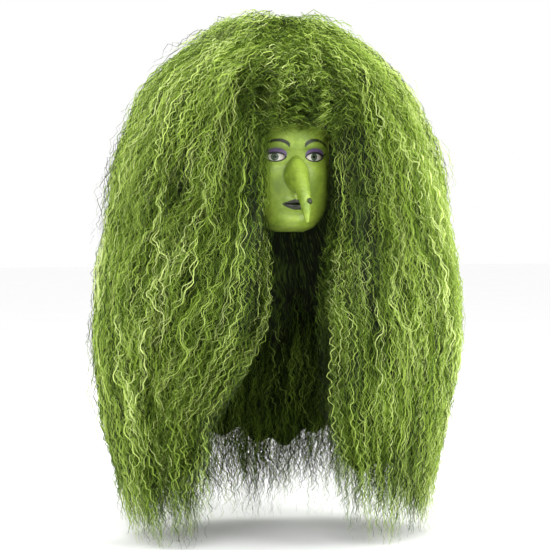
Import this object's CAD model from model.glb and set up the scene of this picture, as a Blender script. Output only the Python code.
"""Looks of the witch mask and its wig: painted latex, foam, net, elastic and thousands of crimped strands.

Metres, +Z up, face towards -Y, +X to its left. Every piece is built where the frame has it and rides on a body of the
frame. The hair's strands are grown from a few hundred guide curves by one Geometry Nodes tree.
"""

from __future__ import annotations

import logging
from dataclasses import dataclass, field
from enum import Enum
from math import cos, pi, radians, sin

import bmesh
import bpy
import numpy as np
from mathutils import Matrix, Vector


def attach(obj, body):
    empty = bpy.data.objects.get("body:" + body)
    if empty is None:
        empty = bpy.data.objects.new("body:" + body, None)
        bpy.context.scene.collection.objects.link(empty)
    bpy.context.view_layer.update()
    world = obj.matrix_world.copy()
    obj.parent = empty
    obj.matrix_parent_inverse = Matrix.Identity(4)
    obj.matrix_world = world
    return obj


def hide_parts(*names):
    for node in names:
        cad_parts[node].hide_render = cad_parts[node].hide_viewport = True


LOG = logging.getLogger("witch")
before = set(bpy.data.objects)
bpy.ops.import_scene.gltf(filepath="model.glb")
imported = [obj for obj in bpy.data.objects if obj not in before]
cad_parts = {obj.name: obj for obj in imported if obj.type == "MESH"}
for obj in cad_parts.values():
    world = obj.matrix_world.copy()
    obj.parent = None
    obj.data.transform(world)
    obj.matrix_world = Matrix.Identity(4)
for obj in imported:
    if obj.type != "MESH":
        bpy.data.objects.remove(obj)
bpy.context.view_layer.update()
BAKE_MAP = "OFBake"                  # the name of the map that a baked copy of a piece keeps its colours in
AXIS_Y = 0.024                       # cap, strap and hair share an upright axis this far behind the head's centre

Colour = tuple[float, float, float, float]
Station = tuple[float, ...]


class Side(Enum):
    """A side of the wearer, by the sign of its X."""

    RIGHT = -1
    LEFT = 1


SIDES = tuple((side.name.lower(), side.value) for side in Side)


def linear(value: float) -> float:
    """One 8-bit display value as linear light.

    Args:
        value: The display value, 0 to 255.

    Returns:
        The linear value, 0 to 1.
    """
    share = value / 255
    return share / 12.92 if share <= 0.04045 else ((share + 0.055) / 1.055) ** 2.4


def paint(red: float, green: float, blue: float) -> Colour:
    """A linear colour from 8-bit display values.

    Args:
        red: Red, 0 to 255.
        green: Green, 0 to 255.
        blue: Blue, 0 to 255.

    Returns:
        The colour, opaque.
    """
    return (linear(red), linear(green), linear(blue), 1.0)


# --- Curves and noise in numpy -------------------------------------------------------------------------------------
def through(stations: tuple[Station, ...], height: np.ndarray) -> np.ndarray:
    """Smooth values through stations that run downwards.

    Args:
        stations: Rows of a height and its values, highest first.
        height: Heights to read at, of any shape.

    Returns:
        An array of that shape with one more axis, the values.
    """
    table = np.array(stations, float)[::-1]
    heights, values = table[:, 0], table[:, 1:]
    slopes = np.gradient(values, heights, axis=0)
    h = np.clip(height, heights[0], heights[-1])
    i = np.clip(np.searchsorted(heights, h) - 1, 0, len(heights) - 2)
    span = heights[i + 1] - heights[i]
    t = ((h - heights[i]) / span)[..., None]
    span = span[..., None]
    return (
        values[i] * (2 * t**3 - 3 * t**2 + 1)
        + slopes[i] * span * (t**3 - 2 * t**2 + t)
        + values[i + 1] * (3 * t**2 - 2 * t**3)
        + slopes[i + 1] * span * (t**3 - t**2)
    )


def straight(stations: tuple[Station, ...], height: np.ndarray) -> np.ndarray:
    """Like through, for one value and with straight lines between the stations.

    Args:
        stations: Rows of a height and its value, highest first.
        height: Heights to read at, of any shape.

    Returns:
        The values, of that shape.
    """
    table = np.array(stations, float)[::-1]
    return np.interp(height, table[:, 0], table[:, 1])


def ease(value: np.ndarray, low: float, high: float) -> np.ndarray:
    """0 below low, 1 above high and a smooth step between.

    Args:
        value: Numbers of any shape.
        low: Where the step begins.
        high: Where it ends.

    Returns:
        The shares, of the same shape.
    """
    t = np.clip((value - low) / (high - low), 0, 1)
    return t * t * (3 - 2 * t)


def unit(vectors: np.ndarray) -> np.ndarray:
    """Vectors of length 1.

    Args:
        vectors: Vectors along the last axis.

    Returns:
        The same directions, of length 1.
    """
    return vectors / np.maximum(np.linalg.norm(vectors, axis=-1, keepdims=True), 1e-12)


def hump(x: np.ndarray, z: np.ndarray, at: Station) -> np.ndarray:
    """A soft swelling: at is the centre x and z, the spread in x and z, and the height.

    Args:
        x: Places across.
        z: Heights, of the same shape.
        at: Centre, spread and height.

    Returns:
        The swelling's height at each place.
    """
    return at[4] * np.exp(-(((x - at[0]) / at[2]) ** 2 + ((z - at[1]) / at[3]) ** 2) / 2)


# --- Meshes --------------------------------------------------------------------------------------------------------
def grid_quads(rows: int, columns: int, wrap: bool = False, start: int = 0) -> np.ndarray:
    """Quads of a grid of points numbered row by row.

    Args:
        rows: Number of rows of points.
        columns: Number of points in a row.
        wrap: Whether the last column joins the first.
        start: Number of the first point.

    Returns:
        An array of four point numbers for each quad.
    """
    r, c = np.meshgrid(np.arange(rows - 1), np.arange(columns if wrap else columns - 1), indexing="ij")
    r, c = r.ravel(), c.ravel()
    after = (c + 1) % columns
    return start + np.stack([r * columns + c, (r + 1) * columns + c, (r + 1) * columns + after, r * columns + after], 1)


def new_piece(
    name: str, points: np.ndarray, faces: list, material: bpy.types.Material, smooth: bool = True
) -> bpy.types.Object:
    """A mesh object at the origin from points and faces, with its material.

    Args:
        name: The object's name.
        points: Its points, in metres.
        faces: Point numbers of each face.
        material: Its material.
        smooth: Whether it is shaded smooth.

    Returns:
        The object.
    """
    mesh = bpy.data.meshes.new(name)
    mesh.from_pydata(np.asarray(points, float).reshape(-1, 3).tolist(), [], [list(map(int, f)) for f in faces])
    mesh.validate()
    mesh.materials.append(material)
    if smooth:
        mesh.shade_smooth()
    piece = bpy.data.objects.new(name, mesh)
    bpy.context.scene.collection.objects.link(piece)
    return piece


def slab(outer: np.ndarray, inner: np.ndarray, wrap: bool = False) -> tuple[np.ndarray, list]:
    """A closed wall between two grids of points.

    Args:
        outer: Points of the outer side, rows by columns by 3. Rows run down, and columns run to the left seen from
            outside, so that the faces point outwards.
        inner: Points of the inner side, in the same order.
        wrap: Whether the columns close on themselves.

    Returns:
        Points and faces.
    """
    rows, columns = outer.shape[:2]
    count = rows * columns
    points = np.concatenate([outer.reshape(-1, 3), inner.reshape(-1, 3)])
    faces = [*grid_quads(rows, columns, wrap), *(grid_quads(rows, columns, wrap, count)[:, ::-1])]
    last = (rows - 1) * columns
    for c in range(columns if wrap else columns - 1):
        after = (c + 1) % columns
        faces.append([c, after, count + after, count + c])
        faces.append([last + after, last + c, count + last + c, count + last + after])
    if not wrap:
        for r in range(rows - 1):
            a, b = r * columns, (r + 1) * columns
            faces.append([b, a, count + a, count + b])
            faces.append([a + columns - 1, b + columns - 1, count + b + columns - 1, count + a + columns - 1])
    return points, faces


def tube(
    path: np.ndarray, radius: np.ndarray | float, sides: int = 8, closed: bool = True
) -> tuple[np.ndarray, list]:
    """A round tube along points, closed on itself or capped at both ends.

    Args:
        path: Points along the tube's middle.
        radius: Its radius, one for all or one for each point.
        sides: Points round it.
        closed: Whether the path closes on itself.

    Returns:
        Points and faces.
    """
    ahead = unit(np.roll(path, -1, 0) - np.roll(path, 1, 0)) if closed else unit(np.gradient(path, axis=0))
    side = unit(np.cross(ahead, np.where(np.abs(ahead[:, 2:]) > 0.9, [[1.0, 0, 0]], [[0, 0, 1.0]])))
    up = np.cross(side, ahead)
    turn = np.arange(sides) * 2 * pi / sides
    ring = side[:, None] * np.cos(turn)[None, :, None] + up[:, None] * np.sin(turn)[None, :, None]
    points = path[:, None] + ring * np.reshape(radius, (-1, 1, 1))
    if closed:
        points = np.concatenate([points, points[:1]])
    faces = [*grid_quads(len(points), sides, True)]
    if not closed:
        faces += [list(range(sides)), list(range((len(points) - 1) * sides, len(points) * sides))[::-1]]
    return points.reshape(-1, 3), faces


def joined(parts: list[tuple[np.ndarray, list]]) -> tuple[np.ndarray, list]:
    """Several sets of points and faces as one.

    Args:
        parts: Points and faces of each part.

    Returns:
        Points and faces of them all.
    """
    points, faces, start = [], [], 0
    for part_points, part_faces in parts:
        points.append(part_points)
        faces += [[start + int(i) for i in face] for face in part_faces]
        start += len(part_points)
    return np.concatenate(points), faces


def turn_outwards(piece: bpy.types.Object) -> None:
    """Merges doubles and points the faces of a closed piece outwards.

    Args:
        piece: The closed mesh object.
    """
    work = bmesh.new()
    work.from_mesh(piece.data)
    bmesh.ops.remove_doubles(work, verts=work.verts, dist=1e-6)
    bmesh.ops.recalc_face_normals(work, faces=work.faces)
    work.to_mesh(piece.data)
    work.free()


def coordinates(piece: bpy.types.Object) -> np.ndarray:
    """Where the points of a mesh are.

    Args:
        piece: The mesh object.

    Returns:
        The points, one row each.
    """
    points = np.empty(len(piece.data.vertices) * 3)
    piece.data.vertices.foreach_get("co", points)
    return points.reshape(-1, 3)


def set_map(piece: bpy.types.Object, name: str, per_point: np.ndarray) -> None:
    """Gives a mesh a UV map from two values for each point.

    Args:
        piece: The mesh object.
        name: The map's name.
        per_point: Two values for each point.
    """
    mesh = piece.data
    corners = np.empty(len(mesh.loops), np.int32)
    mesh.loops.foreach_get("vertex_index", corners)
    layer = mesh.uv_layers.new(name=name)
    layer.uv.foreach_set("vector", per_point[corners].astype(np.float32).ravel())


def set_value(piece: bpy.types.Object, name: str, values: np.ndarray) -> None:
    """Stores one number for each point, which a material can read.

    Args:
        piece: The mesh object.
        name: The attribute's name.
        values: One number for each point.
    """
    attribute = piece.data.attributes.new(name, "FLOAT", "POINT")
    attribute.data.foreach_set("value", values.astype(np.float32).ravel())


# --- Node trees ----------------------------------------------------------------------------------------------------
class Wiring:
    """Short calls for building a node tree."""

    def __init__(self, tree: bpy.types.NodeTree) -> None:
        """Starts on a tree, which is emptied.

        Args:
            tree: The node tree.
        """
        self.tree = tree
        tree.nodes.clear()

    def node(self, kind: str, inputs: dict | None = None, **settings: object) -> bpy.types.Node:
        """Adds a node.

        Args:
            kind: The node's type name.
            inputs: Values or output sockets by input name or number.
            settings: Properties of the node.

        Returns:
            The node.
        """
        made = self.tree.nodes.new(kind)
        for name, value in settings.items():
            setattr(made, name, value)
        for name, value in (inputs or {}).items():
            usable = [s for s in made.inputs if s.enabled] if isinstance(name, str) else made.inputs
            socket = next(s for s in usable if s.name == name) if isinstance(name, str) else made.inputs[name]
            self.plug(socket, value)
        return made

    def plug(self, socket: bpy.types.NodeSocket, value: object) -> None:
        """Links a socket to an output, or gives it a value.

        Args:
            socket: The input socket.
            value: An output socket, or a plain value.
        """
        if isinstance(value, bpy.types.NodeSocket):
            self.tree.links.new(value, socket)
        else:
            socket.default_value = value

    def math(self, operation: str, a: object, b: object = 0.0, c: object = 0.0) -> bpy.types.NodeSocket:
        """The output of a Math node.

        Args:
            operation: The operation's name.
            a: First value or socket.
            b: Second one.
            c: Third one.

        Returns:
            The output socket.
        """
        return self.node("ShaderNodeMath", {0: a, 1: b, 2: c}, operation=operation).outputs[0]

    def vector(self, operation: str, a: object, b: object = (0, 0, 0)) -> bpy.types.NodeSocket:
        """The output of a Vector Math node. For SCALE, b is a number.

        Args:
            operation: The operation's name.
            a: First vector or socket.
            b: Second one.

        Returns:
            The output socket.
        """
        made = self.node("ShaderNodeVectorMath", {0: a}, operation=operation)
        self.plug(made.inputs[3 if operation == "SCALE" else 1], b)
        return made.outputs["Value" if operation in ("LENGTH", "DISTANCE", "DOT_PRODUCT") else "Vector"]

    def band(self, value: object, low: float, high: float) -> bpy.types.NodeSocket:
        """0 to 1 as value goes from low to high, smoothly.

        Args:
            value: A value or socket.
            low: Where 0 ends.
            high: Where 1 begins.

        Returns:
            The output socket.
        """
        settings = {"interpolation_type": "SMOOTHSTEP"}
        return self.node("ShaderNodeMapRange", {0: value, 1: low, 2: high}, **settings).outputs[0]

    def mix(self, share: object, a: object, b: object, blend: str = "MIX") -> bpy.types.NodeSocket:
        """A mix of two colours.

        Args:
            share: How much of b is in it.
            a: First colour or socket.
            b: Second one.
            blend: The way of blending.

        Returns:
            The output socket.
        """
        made = self.node("ShaderNodeMix", data_type="RGBA", blend_type=blend)
        for socket, value in ((made.inputs[0], share), (made.inputs[6], a), (made.inputs[7], b)):
            self.plug(socket, value)
        return made.outputs[2]

    def ramp(self, value: object, stops: list[tuple[float, Colour]]) -> bpy.types.NodeSocket:
        """Colours along a scale.

        Args:
            value: A value or socket.
            stops: Places and colours, in rising order.

        Returns:
            The output socket.
        """
        made = self.node("ShaderNodeValToRGB", {0: value})
        elements = made.color_ramp.elements
        while len(elements) < len(stops):
            elements.new(0.5)
        for element, (place, colour) in zip(elements, stops):
            element.position, element.color = place, colour
        return made.outputs[0]

    def noise(self, place: object, scale: float, detail: float = 3.0, output: int = 0) -> bpy.types.NodeSocket:
        """Noise at a place: output 0 is its value and 1 its colour.

        Args:
            place: Where to read it.
            scale: Its fineness.
            detail: Its octaves.
            output: The output's number.

        Returns:
            The output socket.
        """
        inputs = {"Vector": place, "Scale": scale, "Detail": detail}
        return self.node("ShaderNodeTexNoise", inputs).outputs[output]

    def number(self, name: str) -> bpy.types.NodeSocket:
        """A number stored on the mesh's points, in a material.

        Args:
            name: The attribute's name.

        Returns:
            The output socket.
        """
        return self.node("ShaderNodeAttribute", attribute_name=name).outputs["Fac"]


def group(name: str, inputs: dict[str, tuple[str, object]], outputs: dict[str, str]) -> tuple:
    """Starts a shader node group.

    Args:
        name: The group's name.
        inputs: Socket kind and default value by input name.
        outputs: Socket kind by output name.

    Returns:
        Its tree, its wiring, its input node and its output node.
    """
    tree = bpy.data.node_groups.new(name, "ShaderNodeTree")
    wiring = Wiring(tree)
    for label, (kind, value) in inputs.items():
        socket = tree.interface.new_socket(label, in_out="INPUT", socket_type=kind)
        if value is not None:
            socket.default_value = value
    for label, kind in outputs.items():
        tree.interface.new_socket(label, in_out="OUTPUT", socket_type=kind)
    return tree, wiring, wiring.node("NodeGroupInput"), wiring.node("NodeGroupOutput")


FLOAT, VECTOR = "NodeSocketFloat", "NodeSocketVector"


def blotch_group() -> bpy.types.NodeTree:
    """Uneven pigment: broad clouds broken by finer ones, from 0 to 1.

    Returns:
        The group.
    """
    inputs = {"Vector": (VECTOR, None), "Size": (FLOAT, 0.02), "Contrast": (FLOAT, 1.0)}
    tree, w, enter, leave = group("uneven pigment", inputs, {"Amount": FLOAT})
    place = w.vector("SCALE", enter.outputs["Vector"], w.math("DIVIDE", 1.0, enter.outputs["Size"]))
    both = w.math("MULTIPLY_ADD", w.noise(place, 4.3, 4.0), 0.35, w.math("MULTIPLY", w.noise(place, 1.0, 2.0), 0.65))
    centred = w.math("MULTIPLY", w.math("SUBTRACT", both, 0.5), w.math("MULTIPLY", enter.outputs["Contrast"], 2.6))
    spread = w.math("ADD", centred, 0.5)
    w.plug(leave.inputs["Amount"], w.node("ShaderNodeClamp", {0: spread}).outputs[0])
    return tree


def pore_group() -> bpy.types.NodeTree:
    """The height of moulded skin: pores, and shallow uneven patches between them.

    Returns:
        The group.
    """
    inputs = {"Vector": (VECTOR, None), "Pore": (FLOAT, 0.0011), "Depth": (FLOAT, 1.0)}
    tree, w, enter, leave = group("moulded skin", inputs, {"Height": FLOAT})
    place = w.vector("SCALE", enter.outputs["Vector"], w.math("DIVIDE", 1.0, enter.outputs["Pore"]))
    cells = w.node("ShaderNodeTexVoronoi", {"Vector": place, "Scale": 1.0}).outputs["Distance"]
    pits = w.math("MULTIPLY", w.band(cells, 0.0, 0.45), 0.6)
    height = w.math("MULTIPLY_ADD", w.noise(place, 0.35, 5.0), 0.9, pits)
    w.plug(leave.inputs["Height"], w.math("MULTIPLY", height, enter.outputs["Depth"]))
    return tree


def weave_group() -> bpy.types.NodeTree:
    """Knitted or woven yarns on a map in metres: a height, and a mask of the gaps between yarns.

    Returns:
        The group.
    """
    inputs = {"Vector": (VECTOR, None), "Pitch": (FLOAT, 0.0008)}
    tree, w, enter, leave = group("woven yarns", inputs, {"Height": FLOAT, "Gap": FLOAT})
    place = w.vector("SCALE", enter.outputs["Vector"], w.math("DIVIDE", pi, enter.outputs["Pitch"]))
    parts = w.node("ShaderNodeSeparateXYZ", {0: place}).outputs
    across = w.math("ABSOLUTE", w.math("SINE", parts[0]))
    along = w.math("ABSOLUTE", w.math("SINE", w.math("ADD", parts[1], w.math("MULTIPLY", parts[0], 0.5))))
    height = w.math("MULTIPLY", w.math("POWER", across, 0.6), w.math("POWER", along, 0.5))
    w.plug(leave.inputs["Height"], height)
    w.plug(leave.inputs["Gap"], w.math("SUBTRACT", 1.0, w.band(height, 0.05, 0.45)))
    return tree


def fluff_group() -> bpy.types.NodeTree:
    """Fine streaks that follow a map whose second value runs along the fibres.

    Returns:
        The group.
    """
    inputs = {"Vector": (VECTOR, None), "Fineness": (FLOAT, 90.0)}
    tree, w, enter, leave = group("combed fibres", inputs, {"Streak": FLOAT, "Height": FLOAT})
    bend = w.vector("SCALE", w.noise(enter.outputs["Vector"], 5.0, 2.0, 1), 0.10)
    place = w.vector("MULTIPLY", w.vector("ADD", enter.outputs["Vector"], bend), (1.0, 0.07, 1.0))
    fine = w.node("ShaderNodeTexNoise", {"Vector": place, "Scale": enter.outputs["Fineness"], "Detail": 6.0})
    locks = w.noise(place, 14.0, 3.0)
    streak = w.math("MULTIPLY_ADD", fine.outputs[0], 0.6, w.math("MULTIPLY", locks, 0.4))
    w.plug(leave.inputs["Streak"], w.band(streak, 0.36, 0.64))
    w.plug(leave.inputs["Height"], streak)
    return tree


class Groups:
    """The node groups that more than one material uses, built once."""

    def __init__(self) -> None:
        """Builds each group."""
        self.blotch = blotch_group()
        self.pores = pore_group()
        self.weave = weave_group()
        self.fluff = fluff_group()


class Finish:
    """A material being built: a Principled shader and the wiring around it."""

    def __init__(self, name: str, groups: Groups, **plain: object) -> None:
        """Makes the material.

        Args:
            name: The material's name.
            groups: The shared node groups.
            plain: Values of the shader's own sockets, with underscores for spaces.
        """
        self.material = bpy.data.materials.new(name)
        self.material.use_nodes = True
        self.groups = groups
        self.w = Wiring(self.material.node_tree)
        self.shader = self.w.node("ShaderNodeBsdfPrincipled")
        leave = self.w.node("ShaderNodeOutputMaterial")
        self.w.plug(leave.inputs["Surface"], self.shader.outputs[0])
        for label, value in plain.items():
            self.shader.inputs[label.replace("_", " ")].default_value = value
        self.place = self.w.node("ShaderNodeTexCoord").outputs["Object"]

    def use(self, tree: bpy.types.NodeTree, inputs: dict) -> bpy.types.Node:
        """Places a shared group.

        Args:
            tree: The group.
            inputs: Values or sockets by input name.

        Returns:
            The group's node.
        """
        made = self.w.node("ShaderNodeGroup", node_tree=tree)
        for name, value in inputs.items():
            self.w.plug(made.inputs[name], value)
        return made

    def cloud(self, size: float, contrast: float) -> bpy.types.NodeSocket:
        """Uneven pigment all over the object.

        Args:
            size: Size of its clouds, in metres.
            contrast: How far they differ.

        Returns:
            The output socket.
        """
        inputs = {"Vector": self.place, "Size": size, "Contrast": contrast}
        return self.use(self.groups.blotch, inputs).outputs[0]

    def pores(self, size: float) -> bpy.types.NodeSocket:
        """The height of moulded skin all over the object.

        Args:
            size: Size of a pore, in metres.

        Returns:
            The output socket.
        """
        return self.use(self.groups.pores, {"Vector": self.place, "Pore": size, "Depth": 1.0}).outputs[0]

    def feed(self, socket: str, value: object) -> None:
        """Links or sets one of the shader's inputs.

        Args:
            socket: The input's name.
            value: A value or socket.
        """
        self.w.plug(self.shader.inputs[socket], value)

    def bump(self, height: object, depth: float, strength: float = 1.0) -> None:
        """Feeds the shader's normal from a height, where depth is what 1.0 stands for, in metres.

        Args:
            height: The height's socket.
            depth: Depth in metres.
            strength: The bump's strength.
        """
        inputs = {"Height": height, "Distance": depth, "Strength": strength}
        self.feed("Normal", self.w.node("ShaderNodeBump", inputs).outputs[0])


@dataclass(frozen=True)
class LatexFinish:
    """Painted latex: pigment in two greens, moulded pores, and make-up where the mesh says so."""

    name: str = "painted latex"
    light: Colour = paint(160, 184, 66)
    deep: Colour = paint(114, 142, 42)
    crease: Colour = paint(64, 86, 24)
    black: Colour = paint(18, 20, 14)
    lid: Colour = paint(92, 62, 118)
    raw: Colour = paint(152, 158, 106)
    roughness: float = 0.44

    def material(self, groups: Groups) -> bpy.types.Material:
        """Builds the material. The mesh may store shade, lid, liner, brow and lip masks on its points.

        Args:
            groups: The shared node groups.

        Returns:
            The material.
        """
        made = Finish(self.name, groups, Specular_IOR_Level=0.45, Coat_Weight=0.12, Coat_Roughness=0.3)
        w = made.w
        cloud = made.cloud(0.022, 1.0)
        speck = made.cloud(0.0022, 1.2)
        colour = w.mix(cloud, self.deep, self.light)
        colour = w.mix(w.math("MULTIPLY", speck, 0.22), colour, self.crease)
        colour = w.mix(w.number("shade"), colour, self.crease)
        ragged = w.math("MULTIPLY", w.math("SUBTRACT", w.noise(made.place, 900.0, 3.0), 0.5), 0.5)
        for mask, shade, most in (("lid", self.lid, 0.85), ("liner", self.black, 0.97), ("brow", self.black, 0.95),
                                  ("lip", self.black, 0.97)):
            value = w.number(mask)
            edge = w.math("MULTIPLY", w.math("MULTIPLY", value, w.math("SUBTRACT", 1.0, value)), 4.0)
            broken = w.math("MULTIPLY_ADD", ragged, edge, value)
            colour = w.mix(w.math("MULTIPLY", w.band(broken, 0.15, 0.85), most), colour, shade)
        unpainted = w.mix(w.math("MULTIPLY", speck, 0.3), self.raw, self.deep)
        made.feed("Base Color", w.mix(w.number("inner"), colour, unpainted))
        rough = w.math("MULTIPLY_ADD", speck, 0.14, self.roughness - 0.05)
        made.feed("Roughness", w.math("MULTIPLY_ADD", w.number("lip"), -0.14, rough))
        pores = made.pores(0.0012)
        made.bump(pores, 0.00022, 0.8)
        return made.material


@dataclass(frozen=True)
class WartFinish:
    """A dark rough wart."""

    name: str = "black wart"
    dark: Colour = paint(24, 30, 16)
    light: Colour = paint(72, 86, 44)

    def material(self, groups: Groups) -> bpy.types.Material:
        """Builds the material.

        Args:
            groups: The shared node groups.

        Returns:
            The material.
        """
        made = Finish(self.name, groups, Roughness=0.38, Specular_IOR_Level=0.5)
        blotch = made.cloud(0.003, 1.4)
        made.feed("Base Color", made.w.mix(made.w.math("MULTIPLY", blotch, 0.5), self.dark, self.light))
        pores = made.pores(0.0009)
        made.bump(pores, 0.0003)
        return made.material


@dataclass(frozen=True)
class FibreFinish:
    """Hair fibres. The map's first value is the strand's tone and its second runs from root to tip."""

    name: str = "green hair"
    tones: tuple[Colour, ...] = (
        paint(18, 24, 9),
        paint(52, 70, 22),
        paint(108, 138, 46),
        paint(160, 190, 72),
        paint(200, 224, 112),
        paint(226, 240, 160),
    )
    roughness: float = 0.46

    def material(self, groups: Groups) -> bpy.types.Material:
        """Builds the material.

        Args:
            groups: The shared node groups.

        Returns:
            The material.
        """
        made = Finish(self.name, groups, Roughness=self.roughness, Specular_IOR_Level=0.35)
        w = made.w
        map_parts = w.node("ShaderNodeSeparateXYZ", {0: w.node("ShaderNodeUVMap", uv_map=BAKE_MAP).outputs[0]}).outputs
        root = w.band(map_parts[1], 0.0, 0.22)
        tip = w.math("MULTIPLY", w.band(map_parts[1], 0.6, 1.0), 0.10)
        tone = w.math("MULTIPLY", map_parts[0], w.math("MULTIPLY_ADD", root, 0.6, 0.4))
        stops = [(i / (len(self.tones) - 1), colour) for i, colour in enumerate(self.tones)]
        made.feed("Base Color", w.ramp(w.math("ADD", tone, tip), stops))
        return made.material


@dataclass(frozen=True)
class UnderHairFinish:
    """The dense hair under the loose strands: combed streaks, dark between them."""

    name: str = "dense hair"
    dark: Colour = paint(8, 11, 4)
    middle: Colour = paint(30, 42, 12)
    light: Colour = paint(80, 104, 34)

    def material(self, groups: Groups) -> bpy.types.Material:
        """Builds the material. The mesh has a map called flow, in units of 0.3 m.

        Args:
            groups: The shared node groups.

        Returns:
            The material.
        """
        made = Finish(self.name, groups, Roughness=0.7, Specular_IOR_Level=0.2)
        w = made.w
        flow = w.node("ShaderNodeUVMap", uv_map="flow").outputs[0]
        fibres = made.use(groups.fluff, {"Vector": flow, "Fineness": 110.0}).outputs
        stops = [(0.0, self.dark), (0.55, self.middle), (1.0, self.light)]
        made.feed("Base Color", w.ramp(fibres["Streak"], stops))
        made.bump(fibres["Height"], 0.004, 0.9)
        return made.material


@dataclass(frozen=True)
class YarnFinish:
    """Knitted elastic, tape, net or sewn hair: yarns that run round the shared axis and up it."""

    name: str = "black elastic"
    yarn: Colour = paint(34, 34, 35)
    gap: Colour = paint(8, 8, 9)
    pitch: float = 0.0009
    roughness: float = 0.82
    depth: float = 0.0003

    def material(self, groups: Groups) -> bpy.types.Material:
        """Builds the material.

        Args:
            groups: The shared node groups.

        Returns:
            The material.
        """
        made = Finish(self.name, groups, Roughness=self.roughness, Specular_IOR_Level=0.25, Sheen_Weight=0.2)
        w = made.w
        parts = w.node("ShaderNodeSeparateXYZ", {0: made.place}).outputs
        around = w.math("ARCTAN2", parts[0], w.math("SUBTRACT", parts[1], AXIS_Y))
        place = w.node("ShaderNodeCombineXYZ", {0: w.math("MULTIPLY", around, 0.085), 1: parts[2]}).outputs[0]
        yarns = made.use(groups.weave, {"Vector": place, "Pitch": self.pitch}).outputs
        cloud = made.cloud(0.012, 1.0)
        worn = w.mix(w.math("MULTIPLY", cloud, 0.35), self.yarn, self.gap)
        made.feed("Base Color", w.mix(yarns["Gap"], worn, self.gap))
        made.bump(yarns["Height"], self.depth)
        return made.material


@dataclass(frozen=True)
class FoamFinish:
    """Open-cell foam."""

    name: str = "grey foam"
    light: Colour = paint(128, 128, 124)
    dark: Colour = paint(70, 71, 69)

    def material(self, groups: Groups) -> bpy.types.Material:
        """Builds the material.

        Args:
            groups: The shared node groups.

        Returns:
            The material.
        """
        made = Finish(self.name, groups, Roughness=0.95, Specular_IOR_Level=0.1)
        w = made.w
        cells = w.node("ShaderNodeTexVoronoi", {"Vector": made.place, "Scale": 1100.0}).outputs["Distance"]
        hole = w.band(cells, 0.1, 0.5)
        made.feed("Base Color", w.mix(hole, self.dark, self.light))
        made.bump(hole, 0.0005)
        return made.material


@dataclass(frozen=True)
class HardFinish:
    """Moulded plastic or plated metal with faint scuffs."""

    name: str
    colour: Colour
    scuff: Colour
    roughness: float
    metallic: float = 0.0

    def material(self, groups: Groups) -> bpy.types.Material:
        """Builds the material.

        Args:
            groups: The shared node groups.

        Returns:
            The material.
        """
        made = Finish(self.name, groups, Metallic=self.metallic)
        w = made.w
        cloud = made.cloud(0.004, 1.5)
        made.feed("Base Color", w.mix(w.math("MULTIPLY", cloud, 0.4), self.colour, self.scuff))
        made.feed("Roughness", w.math("MULTIPLY_ADD", cloud, 0.16, self.roughness))
        made.bump(w.noise(made.place, 1500.0, 2.0), 0.00006, 0.5)
        return made.material


@dataclass(frozen=True)
class EyeFinish:
    """A printed eye: white, iris and pupil round a centre at each side of the face."""

    name: str = "printed eye"
    centre: tuple[float, float] = (0.032, 0.0)
    white: Colour = paint(226, 224, 214)
    pink: Colour = paint(190, 150, 140)
    iris_out: Colour = paint(44, 58, 40)
    iris: Colour = paint(112, 132, 104)
    pupil: Colour = paint(8, 8, 8)
    rise: float = 0.0006                 # how far the iris sits above the hole's middle
    pupil_edge: tuple[float, float] = (0.0022, 0.0025)
    iris_shade: tuple[float, float] = (0.0044, 0.0058)
    iris_edge: tuple[float, float] = (0.0056, 0.0060)
    blush: tuple[float, float] = (0.007, 0.015)

    def material(self, groups: Groups) -> bpy.types.Material:
        """Builds the material.

        Args:
            groups: The shared node groups.

        Returns:
            The material.
        """
        made = Finish(self.name, groups, Roughness=0.22, Coat_Weight=0.5, Coat_Roughness=0.05)
        w = made.w
        parts = w.node("ShaderNodeSeparateXYZ", {0: made.place}).outputs
        across = w.math("SUBTRACT", w.math("ABSOLUTE", parts[0]), self.centre[0])
        up = w.math("SUBTRACT", parts[2], self.centre[1] + self.rise)
        flat = w.node("ShaderNodeCombineXYZ", {0: across, 1: up}).outputs[0]
        out = w.vector("LENGTH", flat)
        spokes = w.noise(w.vector("NORMALIZE", flat), 9.0, 4.0)
        iris = w.mix(w.band(spokes, 0.35, 0.65), self.iris, self.iris_out)
        iris = w.mix(w.band(out, *self.iris_shade), iris, self.iris_out)
        white = w.mix(w.math("MULTIPLY", w.band(out, *self.blush), 0.5), self.white, self.pink)
        colour = w.mix(w.band(out, *self.iris_edge), iris, white)
        made.feed("Base Color", w.mix(w.band(out, *self.pupil_edge), self.pupil, colour))
        return made.material


# --- The hair's form -----------------------------------------------------------------------------------------------
def plan(angle: np.ndarray, half_width: np.ndarray, reach: np.ndarray, roundness: float | np.ndarray) -> np.ndarray:
    """Points at these angles from straight back on a rounded outline about the shared axis: x and y.

    Args:
        angle: Angles in radians.
        half_width: Half the outline's width.
        reach: Its reach before or behind the axis.
        roundness: 2 for an ellipse, more for a squarer outline.

    Returns:
        The points, x and y along the last axis.
    """
    across, along = np.abs(np.sin(angle)) / half_width, np.abs(np.cos(angle)) / reach
    radius = (across**roundness + along**roundness) ** (-1 / roundness)
    return np.stack([radius * np.sin(angle), AXIS_Y + radius * np.cos(angle)], -1)


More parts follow.
